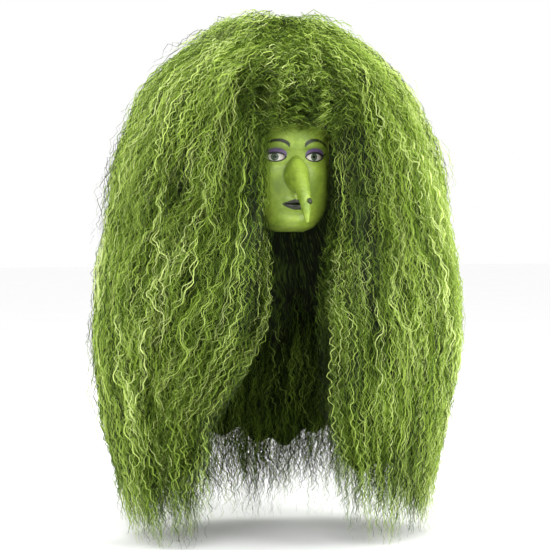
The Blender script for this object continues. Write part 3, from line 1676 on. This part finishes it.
    def blocks(self) -> None:
        """All the blocks: the crown, two storeys of seven, and three of the fringe."""
        form, columns, rows = self.form, 26, 34
        turns = np.linspace(0, 2 * pi, 96, endpoint=False)[None, :]
        down = np.linspace(0, 1, 30)[:, None]
        highest = form.top - 0.0012
        outer_z = highest - (highest - self.CROWN_HEM) * down**1.8 + 0 * turns
        cap_top = form.cap_shoulder + form.cap_rise + form.over_cap - 0.0001
        inner_z = cap_top - (cap_top - self.CROWN_HEM) * down**1.8 + 0 * turns
        self.block("crown_hair", turns + 0 * down, outer_z, True, inner_z)
        across, t = np.linspace(0, 1, columns)[None, :], np.linspace(0, 1, rows)[:, None]
        for storey, top, low in (("upper", self.UPPER_TOP, -0.0592), ("lower", -0.0608, -0.470)):
            ragged = 0.012 * np.sin(across * 2 * pi) + 0.008 * np.sin(across * 6 * pi + 1)
            z = top + (low - top + (ragged if storey == "lower" else 0)) * t + 0 * across
            spans = [("back", -self.BACK + 0 * z, self.BACK + 0 * z)]
            for side, sign in SIDES:
                spans.append((f"back_{side}", sign * self.BACK + 0 * z, sign * self.SIDE + 0 * z))
                spans.append((f"side_{side}", sign * self.SIDE + 0 * z, sign * self.FRONT + 0 * z))
                spans.append((f"front_{side}", sign * self.FRONT + 0 * z, sign * (pi - form.edge(z, sign) - 0.07)))
            for area, low_angle, high_angle in spans:
                angle = low_angle + (high_angle - low_angle) * across
                self.block(f"{storey}_hair_{area}", angle, z, False, z)
        z = self.UPPER_TOP + (0.055 - self.UPPER_TOP) * t + 0 * across
        split = np.arcsin(0.018 / 0.14)
        edge = form.edge(np.minimum(z, 0.104), 1)
        for name, first, last in (
            ("fringe_middle", pi - split + 0 * z, pi + split + 0 * z),
            ("fringe_left", pi - edge, pi - split + 0 * z),
            ("fringe_right", pi + split + 0 * z, pi + edge),
        ):
            self.block(name, first + (last - first) * across, z, False, z)

    def build(self) -> None:
        """Builds every block and every strand."""
        self.blocks()
        for lock_set in self.sets():
            self.grow(self.guides(lock_set), lock_set.name, lock_set.strands, lock_set.seed)
        curls = Strands(count=8, spread=0.0035, crimp=0.0066, coil=1.0, frizz=0.0034, width=0.0010, step=0.0025)
        self.grow(self.fringe(71, 120, (0.080, 0.165), (0.04, 0.64), 1.0), "fringe_curls", curls, 71)
        frizz = Strands(count=8, spread=0.012, crimp=0.0040, frizz=0.0080, width=0.0010, step=0.003)
        self.grow(self.fringe(72, 130, (0.125, 0.222), (0.22, 0.84), 0.0), "fringe_frizz", frizz, 72)


# --- The mask ------------------------------------------------------------------------------------------------------
@dataclass
class FaceMask:
    """The moulded latex face: its wall, its rims round the eye holes, its make-up and its linings."""

    stations: tuple[Station, ...] = (    # height, y of the middle line, half width, y of the side edge
        (0.080, -0.0740, 0.0600, -0.0260),
        (0.062, -0.0870, 0.0690, -0.0140),
        (0.040, -0.0950, 0.0745, -0.0060),
        (0.018, -0.0965, 0.0768, -0.0020),
        (-0.002, -0.0900, 0.0775, -0.0005),
        (-0.030, -0.0910, 0.0762, -0.0020),
        (-0.054, -0.0920, 0.0725, -0.0080),
        (-0.074, -0.0915, 0.0665, -0.0160),
        (-0.090, -0.0895, 0.0580, -0.0260),
        (-0.103, -0.0880, 0.0470, -0.0350),
        (-0.112, -0.0800, 0.0350, -0.0430),
        (-0.117, -0.0640, 0.0220, -0.0480),
    )
    flatness: float = 0.4
    features: tuple[Station, ...] = (    # x and z of the centre, spread in x and z, height out of the face
        (0.032, 0.002, 0.0170, 0.0110, -0.0055),
        (0.032, -0.001, 0.0130, 0.0080, 0.0045),
        (0.026, 0.018, 0.0170, 0.0060, 0.0026),
        (0.047, -0.027, 0.0160, 0.0130, 0.0040),
        (0.064, 0.026, 0.0100, 0.0160, -0.0020),
        (0.028, -0.056, 0.0060, 0.0120, -0.0014),
        (0.000, -0.068, 0.0240, 0.0170, 0.0036),
        (0.000, -0.0675, 0.0170, 0.0030, 0.0022),
        (0.000, -0.0785, 0.0155, 0.0038, 0.0028),
        (0.000, -0.089, 0.0170, 0.0040, -0.0020),
        (0.000, -0.101, 0.0150, 0.0100, 0.0046),
    )
    carving: tuple[Station, ...] = (     # finer swellings and dips of the sculpted surface
        (0.0045, -0.0615, 0.0016, 0.0050, 0.0007),
        (0.0000, -0.0610, 0.0020, 0.0045, -0.0008),
        (0.0060, -0.0668, 0.0050, 0.0020, 0.0007),
        (0.0075, -0.0790, 0.0060, 0.0028, 0.0006),
        (0.0215, -0.0730, 0.0022, 0.0030, -0.0012),
        (0.0320, 0.0105, 0.0150, 0.0016, -0.0009),
        (0.0320, -0.0125, 0.0120, 0.0022, -0.0006),
        (0.0060, 0.0200, 0.0022, 0.0070, -0.0006),
    )
    wall: float = 0.003
    eye: tuple[float, float, float, float] = (0.032, 0.0, 0.0155, 0.0062)   # x, z, half width, half height
    mouth: tuple[float, float, float, float] = (0.0, -0.0730, 0.0200, 0.0012)
    nose_hole: tuple[float, float, float, float] = (0.0, -0.031, 0.0130, 0.0185)
    columns: int = 181
    rows: int = 180
    lining: float = 0.0037               # depth of the linings under the skin
    foam: float = 0.005

    def half_width(self, z: np.ndarray) -> np.ndarray:
        """Half the face's width at these heights.

        Args:
            z: Heights.

        Returns:
            The half widths.
        """
        return through(self.stations, z)[..., 1]

    def skin_y(self, x: np.ndarray, z: np.ndarray, carved: bool = True) -> np.ndarray:
        """How far forward the skin is.

        Args:
            x: Places across.
            z: Heights.
            carved: Whether the finer forms are counted.

        Returns:
            The y of the skin.
        """
        middle, half_width, side = np.moveaxis(through(self.stations, z), -1, 0)
        share = np.minimum(np.abs(x) / half_width, 1.0)
        y = side + (middle - side) * (1 - share**2) ** self.flatness
        fade = 1 - share**6
        for feature in self.features + (self.carving if carved else ()):
            y = y - fade * hump(np.abs(x), z, feature)
        return y

    def skin(self, x: np.ndarray, z: np.ndarray, depth: float | np.ndarray = 0.0, carved: bool = True) -> np.ndarray:
        """Points on the skin, or this far under it.

        Args:
            x: Places across.
            z: Heights.
            depth: Depth under the skin.
            carved: Whether the finer forms are counted.

        Returns:
            The points.
        """
        step = 0.0004
        reach = self.half_width(z) - 2 * step
        inner = np.clip(x, -reach, reach)
        slope_x = (self.skin_y(inner + step, z, carved) - self.skin_y(inner - step, z, carved)) / (2 * step)
        slope_z = (self.skin_y(inner, z + step, carved) - self.skin_y(inner, z - step, carved)) / (2 * step)
        inward = unit(np.stack([-slope_x, np.ones_like(slope_x), -slope_z], -1))
        return np.stack([x, self.skin_y(x, z, carved), z], -1) + inward * np.asarray(depth)[..., None]

    @staticmethod
    def almond(hole: tuple[float, float, float, float], turn: np.ndarray, grow: float = 0.0) -> np.ndarray:
        """Points of an almond-shaped outline: x and z.

        Args:
            hole: Centre x and z, half width and half height.
            turn: Angles round it.
            grow: How far outside the hole.

        Returns:
            The points.
        """
        x, z, half_width, half_height = hole
        up = np.abs(np.sin(turn)) ** 1.25 * np.sign(np.sin(turn))
        return np.stack([x + (half_width + grow) * np.cos(turn), z + (half_height + grow) * up], -1)

    @staticmethod
    def oval(hole: tuple[float, float, float, float], turn: np.ndarray) -> np.ndarray:
        """Points of an oval outline: x and z.

        Args:
            hole: Centre x and z, half width and half height.
            turn: Angles round it.

        Returns:
            The points.
        """
        x, z, half_width, half_height = hole
        return np.stack([x + half_width * np.cos(turn), z + half_height * np.sin(turn)], -1)

    def holes(self) -> list[np.ndarray]:
        """The outlines of both eyes, the mouth's slit and the hole behind the nose.

        Returns:
            Points of each outline, x and z.
        """
        turn = np.linspace(0, 2 * pi, 240, endpoint=False)
        left, right = self.almond(self.eye, turn), self.almond((-self.eye[0], *self.eye[1:]), turn)
        return [left, right, self.almond(self.mouth, turn), self.oval(self.nose_hole, turn)]

    @staticmethod
    def within(points: np.ndarray, outline: np.ndarray) -> np.ndarray:
        """Which points, x and z, lie inside an outline.

        Args:
            points: The points.
            outline: Points of a closed outline.

        Returns:
            True for each point inside.
        """
        a, b = outline, np.roll(outline, -1, 0)
        x, z = points[:, None, 0], points[:, None, 1]
        crosses = (a[:, 1] > z) != (b[:, 1] > z)
        gap = np.where(b[:, 1] == a[:, 1], 1e-12, b[:, 1] - a[:, 1])
        return (crosses & (x < a[:, 0] + (b[:, 0] - a[:, 0]) * (z - a[:, 1]) / gap)).sum(1) % 2 == 1

    def shell(self, latex: bpy.types.Material) -> bpy.types.Object:
        """The face: a fine grid with its holes cut along their outlines, given its wall by a Solidify.

        Args:
            latex: Its material.

        Returns:
            The face.
        """
        t = np.linspace(0, 1, self.rows)
        top, bottom = self.stations[0][0], self.stations[-1][0]
        z = (top + (bottom - top) * (t + 0.045 * np.sin(2 * pi * t)))[:, None]
        across = np.sin(pi / 2 * np.linspace(-1, 1, self.columns))[None, :]
        x = self.half_width(z) * across
        flat = np.stack([x, z + 0 * x], -1).reshape(-1, 2)
        quads = grid_quads(self.rows, self.columns)
        keep = np.ones(len(quads), bool)
        middles = flat[quads].mean(1)
        for outline in self.holes():
            box = (np.abs(middles - outline.mean(0)) < np.ptp(outline, 0)).all(1)
            gone = np.zeros(len(quads), bool)
            gone[box] = self.within(middles[box], outline)
            touched = np.intersect1d(quads[gone].ravel(), quads[keep & ~gone].ravel())
            keep &= ~gone
            near = np.linalg.norm(flat[touched, None] - outline[None], axis=-1).argmin(1)
            flat[touched] = outline[near]
        points = self.skin(flat[:, 0], flat[:, 1])
        used = np.unique(quads[keep])
        numbers = np.full(len(flat), -1)
        numbers[used] = np.arange(len(used))
        piece = new_piece("latex_face", points[used], numbers[quads[keep]], latex)
        wall = piece.modifiers.new("wall", "SOLIDIFY")
        wall.thickness, wall.offset = self.wall, -1
        bpy.context.view_layer.update()
        solid = piece.evaluated_get(bpy.context.evaluated_depsgraph_get())
        mesh = bpy.data.meshes.new_from_object(solid)
        piece.modifiers.clear()
        piece.data = mesh
        return piece

    def make_up(self, piece: bpy.types.Object) -> None:
        """Stores the paint's masks on the face's points: lids, liner, brows, lips and shaded hollows.

        Args:
            piece: The face.
        """
        points = coordinates(piece)
        x, z = np.abs(points[:, 0]), points[:, 2]
        front = points[:, 1] < self.skin_y(points[:, 0], z) + self.wall / 2
        ex, ez, half_width, half_height = self.eye
        u = (x - ex) / half_width
        lid_line = ez + half_height * np.sqrt(np.clip(1 - u**2, 0, 1)) ** 1.25
        low_line = ez - half_height * np.sqrt(np.clip(1 - u**2, 0, 1)) ** 1.25
        inside = ease(1.16 - np.abs(u), 0.0, 0.12)
        lid = ease(z, lid_line - 0.001, lid_line + 0.0004) * (1 - ease(z, lid_line + 0.0050, lid_line + 0.0110))
        wing = ez + 0.0020 + (x - ex - half_width) * 0.55
        wing_mask = ease(x, ex + half_width * 0.82, ex + half_width * 0.95) * (
            1 - ease(x, ex + half_width + 0.0055, ex + half_width + 0.0085)
        ) * (1 - ease(np.abs(z - wing), 0.0008, 0.0020))
        above = (1 - ease(np.abs(z - lid_line - 0.0008), 0.0012, 0.0022)) * inside
        below = (1 - ease(np.abs(z - low_line + 0.0003), 0.0004, 0.0013)) * inside
        t = np.clip((x - 0.0125) / 0.0425, 0, 1)
        brow_line = 0.0185 + 0.0085 * np.sin(pi * t**0.85) - 0.0015 * t
        thick = 0.0030 * (1 - 0.70 * t) + 0.0004
        spread = 0.0007 * np.sin(x * 2600 + z * 900)
        brow = (1 - ease(np.abs(z - brow_line - spread), thick - 0.0006, thick + 0.0008))
        brow = brow * ease(x, 0.0105, 0.0135) * (1 - ease(x, 0.0535, 0.0560))
        mx = np.clip(x / 0.0235, 0, 1)
        bow = 0.0009 * np.cos(x / 0.0048 * pi) * np.exp(-((x / 0.007) ** 2)) * -1
        upper = self.mouth[1] + 0.0078 * (1 - mx**1.7) + bow
        lower = self.mouth[1] - 0.0092 * (1 - mx**2.2)
        lip = ease(upper - z, -0.0004, 0.0006) * ease(z - lower, -0.0004, 0.0006) * (1 - ease(x, 0.0222, 0.0236))
        shade = (
            0.55 * hump(x, z, (0.030, 0.012, 0.016, 0.006, 1.0))
            + 0.45 * hump(x, z, (0.029, -0.050, 0.006, 0.018, 1.0))
            + 0.4 * hump(x, z, (0.0, -0.089, 0.016, 0.003, 1.0))
            + 0.5 * ease(x / self.half_width(z), 0.75, 1.0)
            + 0.35 * hump(x, z, (0.017, -0.034, 0.004, 0.022, 1.0))
        )
        for name, mask in (
            ("lid", lid * inside),
            ("liner", np.maximum(np.maximum(above, below), wing_mask)),
            ("brow", brow),
            ("lip", lip),
            ("shade", np.clip(shade, 0, 0.8)),
        ):
            set_value(piece, name, mask * front)
        set_value(piece, "inner", 1.0 - front)

    def rims(self, black: bpy.types.Material) -> bpy.types.Object:
        """Rolled edges round the eye holes.

        Args:
            black: Their material.

        Returns:
            Both rims as one piece.
        """
        turn = np.linspace(0, 2 * pi, 96, endpoint=False)
        parts = []
        for _, sign in SIDES:
            outline = self.almond(self.eye, turn, 0.0003)
            ring = self.skin(sign * outline[:, 0], outline[:, 1], 0.0006)
            parts.append(tube(ring, 0.0010, 8))
        piece = new_piece("eye_rims", *joined(parts), black)
        turn_outwards(piece)
        return piece

    def patch(self, name: str, at: tuple[float, float, float, float], depth: float, thick: float, crown: float,
              material: bpy.types.Material, rings: int = 14, steps: int = 48) -> bpy.types.Object:
        """An oval lining that follows the inside of the face, fuller in its middle by crown.

        Args:
            name: The piece's name.
            at: Centre x and z, half width and half height.
            depth: Depth of its front under the skin.
            thick: Its thickness.
            crown: How much fuller its middle is.
            material: Its material.
            rings: Rings of points.
            steps: Points in a ring.

        Returns:
            The lining.
        """
        x, z, half_width, half_height = at
        turn = np.linspace(0, 2 * pi, steps, endpoint=False)[None, :]
        share = np.linspace(0.02, 1, rings)[:, None] ** 0.8
        px, pz = x + share * half_width * np.cos(turn), z + share * half_height * np.sin(turn)
        edge = np.sqrt(np.clip(1 - share**6, 0.04, 1))
        front = self.skin(px, pz, depth + thick * 0.5 * (1 - edge) + 0 * px, False)
        back = self.skin(px, pz, depth + thick - thick * 0.5 * (1 - edge) + crown * (1 - share**2) + 0 * px, False)
        piece = new_piece(name, *slab(front, back, True), material)
        turn_outwards(piece)
        return piece

    def build(self, latex: bpy.types.Material, black: bpy.types.Material, foam: bpy.types.Material,
              eye: bpy.types.Material) -> None:
        """Builds the face and everything glued into it.

        Args:
            latex: Finish of the face.
            black: Finish of the rims.
            foam: Finish of the pads.
            eye: Finish of the printed eyes.
        """
        face = self.shell(latex)
        self.make_up(face)
        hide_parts("face_shell")
        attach(face, "mask")
        rims = self.rims(black)
        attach(rims, "mask")
        pads = [("forehead_pad", (0, 0.052, 0.046, 0.0125), 0.0), ("chin_pad", (0, -0.094, 0.023, 0.0070), 0.0008)]
        for side, sign in SIDES:
            pads.append((f"cheek_pad_{side}", (sign * 0.048, -0.038, 0.0130, 0.0165), 0.0))
            at = (sign * self.eye[0], self.eye[1], 0.0205, 0.0110)
            insert = self.patch(f"printed_eye_{side}", at, self.lining, 0.0010, 0.0, eye)
            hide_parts(f"eye_mesh_{side}")
            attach(insert, "mask")
        for name, at, under in pads:
            pad = self.patch(f"foam_{name}", at, self.lining + under, self.foam * 0.9, self.foam * 0.18, foam)
            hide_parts(name)
            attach(pad, "mask")
        LOG.info("mask: %d faces", len(face.data.polygons))


@dataclass
class WitchNose:
    """The long hooked latex nose and its wart."""

    face: FaceMask
    base: tuple[float, float, float] = (-0.026, 0.0205, 0.0290)      # z, half width and half height of the flange
    sections: tuple[Station, ...] = (    # y and z of the centre, half width, half height
        (-0.1015, -0.0270, 0.0165, 0.0225),
        (-0.1110, -0.0350, 0.0135, 0.0185),
        (-0.1220, -0.0460, 0.0115, 0.0145),
        (-0.1325, -0.0580, 0.0100, 0.0115),
        (-0.1410, -0.0710, 0.0086, 0.0092),
        (-0.1470, -0.0840, 0.0066, 0.0068),
        (-0.1500, -0.0950, 0.0042, 0.0042),
    )
    tip: tuple[float, float] = (-0.1512, -0.1020)
    wing: tuple[float, float, float] = (0.0155, -0.1050, -0.0440)
    wing_spread: float = 0.0075
    wing_swell: float = 0.0042
    seat: float = -0.0023
    flange: float = 0.0010
    around: int = 84
    between: int = 12
    wart_out: tuple[float, float, float] = (0.55, -0.80, 0.24)
    wart_radius: float = 0.0047
    wart_height: float = 0.0036

    def flange_ring(self, share: float, depth: float) -> np.ndarray:
        """A ring of the flange on the face's skin: share 1 is its outer edge.

        Args:
            share: Where the ring is, 1 at the flange's edge.
            depth: Depth under the skin.

        Returns:
            The points.
        """
        z, half_width, half_height = self.base
        turn = np.linspace(0, 2 * pi, self.around, endpoint=False)
        narrowed = 1 - 0.30 * np.maximum(0, np.sin(turn))
        x = share * half_width * np.cos(turn) * narrowed
        return self.face.skin(x, z + share * half_height * np.sin(turn), depth, False)

    def rings(self) -> list[np.ndarray]:
        """The nose's own rings at its driving sections, with the nostril wings.

        Returns:
            Points of each ring.
        """
        line = [row[:2] for row in self.sections] + [self.tip]
        turn = np.linspace(0, 2 * pi, self.around, endpoint=False)[:, None]
        made = []
        for i, (y, z, half_width, half_height) in enumerate(self.sections):
            before = line[max(i - 1, 0)]
            ahead = unit(np.array([line[i + 1][0] - before[0], line[i + 1][1] - before[1]]))
            ahead = np.array([-1.0, 0.0]) * (1 - min(i / 3, 1)) + ahead * min(i / 3, 1)
            ahead = unit(ahead)
            up = np.array([0, -ahead[1], ahead[0]])
            up = up if up[2] > 0 else -up
            ring = np.array([0, y, z]) + half_width * np.cos(turn) * [1.0, 0, 0] + half_height * np.sin(turn) * up
            off = np.stack([np.abs(ring[:, 0]), ring[:, 1], ring[:, 2]], -1) - self.wing
            swell = self.wing_swell * np.exp(-(off**2).sum(1) / (2 * self.wing_spread**2))
            side = np.where(ring[:, 0] > 0, 1, -1)
            made.append(ring + np.stack([side * swell, -0.4 * swell, -0.3 * swell], -1))
        return made

    def build(self, latex: bpy.types.Material, wart_finish: bpy.types.Material) -> None:
        """Builds the nose with its flange, and the wart.

        Args:
            latex: Finish of the nose.
            wart_finish: Finish of the wart.
        """
        drive = [self.flange_ring(0.99, self.seat - 0.0002), self.flange_ring(0.97, self.seat - self.flange)]
        drive += self.rings()
        last = drive[-1]
        middle, end = last.mean(0), np.array([0, *self.tip])
        rows = [self.flange_ring(0.80, self.seat), self.flange_ring(0.99, self.seat)]
        for i in range(1, len(drive) - 1):
            before, here, after = drive[i - 1], drive[i], drive[i + 1]
            beyond = drive[i + 2] if i + 2 < len(drive) else after * 2 - here
            for t in np.arange(self.between) / self.between:
                first, second = (after - before) / 2, (beyond - here) / 2
                if i == 1:
                    first = (after - here) * 0.4
                rows.append(
                    here * (2 * t**3 - 3 * t**2 + 1) + first * (t**3 - 2 * t**2 + t)
                    + after * (3 * t**2 - 2 * t**3) + second * (t**3 - t**2)
                )
        for t in np.linspace(0, 1, 9)[:-1]:
            rows.append(middle + (end - middle) * np.sin(t * pi / 2) + (last - middle) * np.cos(t * pi / 2))
        grid = np.array(rows)
        lumps = 0.00028 * np.sin(grid[..., 1:2] * 620 + grid[..., 0:1] * 330) * np.sin(grid[..., 2:3] * 480)
        centre = grid[3:].mean(1, keepdims=True)
        grid[3:] += unit(grid[3:] - centre) * lumps[3:]
        tip_face = list(range((len(rows) - 1) * self.around, len(rows) * self.around))
        faces = [*grid_quads(len(rows), self.around, True), tip_face]
        inner = [self.flange_ring(0.72, self.seat)] + [
            ring + unit(ring.mean(0) - ring) * 0.0024 for ring in self.rings()[:3]
        ]
        start = grid.shape[0] * self.around
        inner_face = list(range(start + 3 * self.around, start + 4 * self.around))
        faces += [*grid_quads(len(inner), self.around, True, start), inner_face]
        ring = np.arange(self.around)
        after = (ring + 1) % self.around
        faces += [*np.stack([ring, after, start + after, start + ring], 1)]
        points = np.concatenate([grid.reshape(-1, 3), np.array(inner).reshape(-1, 3)])
        nose = new_piece("latex_nose", points, faces, latex)
        turn_outwards(nose)
        x, y, z = coordinates(nose).T
        under = np.exp(
            -(((np.abs(x) - 0.0085) / 0.0035) ** 2 + ((y + 0.1100) / 0.006) ** 2 + ((z + 0.0520) / 0.004) ** 2)
        )
        crease = np.exp(-(((np.abs(x) - 0.0135) / 0.0035) ** 2 + ((z + 0.0350) / 0.004) ** 2))
        set_value(nose, "liner", under)
        set_value(nose, "shade", np.clip(0.35 * crease + 0.35 * ease(-z, 0.05, 0.0) * (y > -0.1), 0, 1))
        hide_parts("witch_nose")
        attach(nose, "nose")
        self.wart(wart_finish)
        LOG.info("nose: %d faces", len(nose.data.polygons))

    def wart(self, finish: bpy.types.Material) -> None:
        """A lumpy low dome on the side of the nose.

        Args:
            finish: Its material.
        """
        y, z, _, half_height = self.sections[4]
        out = unit(np.array(self.wart_out))
        foot = np.array([0, y, z]) + out * (half_height - 0.0002)
        side = unit(np.cross(out, [0, 0, 1.0]))
        up = np.cross(side, out)
        around, rows = 40, 16
        turn = np.linspace(0, 2 * pi, around, endpoint=False)[None, :]
        rise = np.linspace(-0.25, pi / 2 - 0.03, rows)[:, None]
        lump = 1 + 0.10 * np.sin(3 * turn + 5 * rise) + 0.06 * np.sin(7 * turn - 9 * rise)
        flat = self.wart_radius * np.cos(rise) * lump
        high = self.wart_height * np.sin(rise) * (1 + 0.08 * np.sin(5 * turn + 2))
        points = foot + (flat * np.cos(turn))[..., None] * side + (flat * np.sin(turn))[..., None] * up
        points = points + high[..., None] * out
        top_face = list(range((rows - 1) * around, rows * around))
        faces = [*grid_quads(rows, around, True), list(range(around)), top_face]
        piece = new_piece("lumpy_wart", points, faces, finish)
        turn_outwards(piece)
        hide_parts("nose_wart")
        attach(piece, "nose")


class Hardware:
    """The CAD pieces that keep their shape and get their finishes."""

    def dress(self, finishes: dict[str, bpy.types.Material]) -> None:
        """Gives every kept piece its finish: elastic, net, tape, latex, plastic or nickel.

        Args:
            finishes: Materials by a word of the piece's name.
        """
        for name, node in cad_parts.items():
            finish = next((m for key, m in finishes.items() if key in name), None)
            if finish is not None:
                node.data.materials.clear()
                node.data.materials.append(finish)
                LOG.info("%s: %s", name, finish.name)


# --- The studio ----------------------------------------------------------------------------------------------------
@dataclass
class Studio:
    """A plain pale floor, soft light and the camera."""

    azimuth: float = radians(-15)
    elevation: float = radians(2)
    distance: float = 3.0
    lens: float = 122.0
    height: float = -0.187
    aside: float = -0.010
    floor_z: float = -0.606

    def floor(self) -> None:
        """A wide pale floor under the tips of the hair, curving up behind into a backdrop."""
        surface = bpy.data.materials.new("pale floor")
        surface.use_nodes = True
        w = Wiring(surface.node_tree)
        shader = w.node("ShaderNodeBsdfPrincipled")
        shader.inputs["Roughness"].default_value = 0.9
        clouds = w.noise(w.node("ShaderNodeTexCoord").outputs["Object"], 3.0)
        w.plug(shader.inputs["Base Color"], w.mix(clouds, paint(248, 248, 248), paint(252, 252, 252)))
        w.plug(w.node("ShaderNodeOutputMaterial").inputs[0], shader.outputs[0])
        points = [(x, y, self.floor_z) for x in (-14, 14) for y in (-14, 14)]
        floor = new_piece("floor", points, [[0, 2, 3, 1]], surface, False)

    def lights(self) -> None:
        """A broad key from the front left, a fill, a light behind and a pale sky."""
        world = bpy.data.worlds.new("studio")
        bpy.context.scene.world = world
        world.use_nodes = True
        back = world.node_tree.nodes["Background"]
        back.inputs[0].default_value = (1, 1, 1, 1)
        back.inputs[1].default_value = 1.0
        bpy.context.scene.view_settings.view_transform = "Standard"
        for name, place, size, power in (
            ("key", (-0.9, -2.5, 2.2), 1.6, 54),
            ("fill", (2.2, -2.0, 1.3), 1.8, 72),
            ("behind", (0.4, 2.2, 1.8), 1.6, 30),
        ):
            lamp = bpy.data.lights.new(name, "AREA")
            lamp.size, lamp.energy = size, power
            light = bpy.data.objects.new(name, lamp)
            light.location = place
            light.rotation_euler = (Vector((0, 0, -0.15)) - Vector(place)).to_track_quat("-Z", "Y").to_euler()
            bpy.context.scene.collection.objects.link(light)

    def camera(self) -> None:
        """The camera, a little to the right of the face."""
        right = Vector((cos(self.azimuth), sin(self.azimuth), 0))
        level = cos(self.elevation)
        back = Vector((sin(self.azimuth) * level, -cos(self.azimuth) * level, sin(self.elevation)))
        target = right * self.aside + Vector((0, 0, self.height))
        data = bpy.data.cameras.new("camera")
        data.lens, data.clip_end = self.lens, 100
        seen = bpy.data.objects.new("camera", data)
        seen.location = target + back * self.distance
        seen.rotation_euler = back.to_track_quat("Z", "Y").to_euler()
        bpy.context.scene.collection.objects.link(seen)
        bpy.context.scene.camera = seen

    def build(self) -> None:
        """Builds floor, lights and camera."""
        self.floor()
        self.lights()
        self.camera()


def main() -> None:
    """Builds the studio, the mask, the nose, the hardware and the hair."""
    logging.basicConfig(level=logging.INFO, format="%(name)s: %(message)s")
    groups = Groups()
    Studio().build()
    latex = LatexFinish().material(groups)
    black = HardFinish("black latex", paint(22, 24, 18), paint(48, 54, 36), 0.42).material(groups)
    plastic = HardFinish("black plastic", paint(26, 26, 27), paint(60, 60, 60), 0.38).material(groups)
    nickel = HardFinish("nickel", paint(190, 186, 176), paint(130, 126, 116), 0.26, 1.0).material(groups)
    tape = HardFinish("clear tape", paint(214, 216, 196), paint(188, 190, 160), 0.3).material(groups)
    elastic = YarnFinish().material(groups)
    net = YarnFinish("black net", paint(30, 30, 30), paint(6, 6, 6), 0.0022, 0.85, 0.0005).material(groups)
    weft = YarnFinish("sewn hair", paint(60, 78, 28), paint(14, 18, 8), 0.0010, 0.6, 0.0006).material(groups)
    foam = FoamFinish().material(groups)
    Hardware().dress(
        {
            "strap_slider": plastic,
            "hook": plastic,
            "rivet": nickel,
            "nose_tape": tape,
            "strap_tab": latex,
            "ear_tab": elastic,
            "ladder_tape": elastic,
            "adjuster_strap": elastic,
            "elastic_strap": elastic,
            "cap_binding": elastic,
            "wig_cap": net,
            "weft": weft,
        }
    )
    mask = FaceMask()
    mask.build(latex, black, foam, EyeFinish().material(groups))
    WitchNose(mask).build(latex, WartFinish().material(groups))
    Hair(HairForm(), FibreFinish().material(groups), UnderHairFinish().material(groups)).build()


if __name__ == "__main__":
    main()
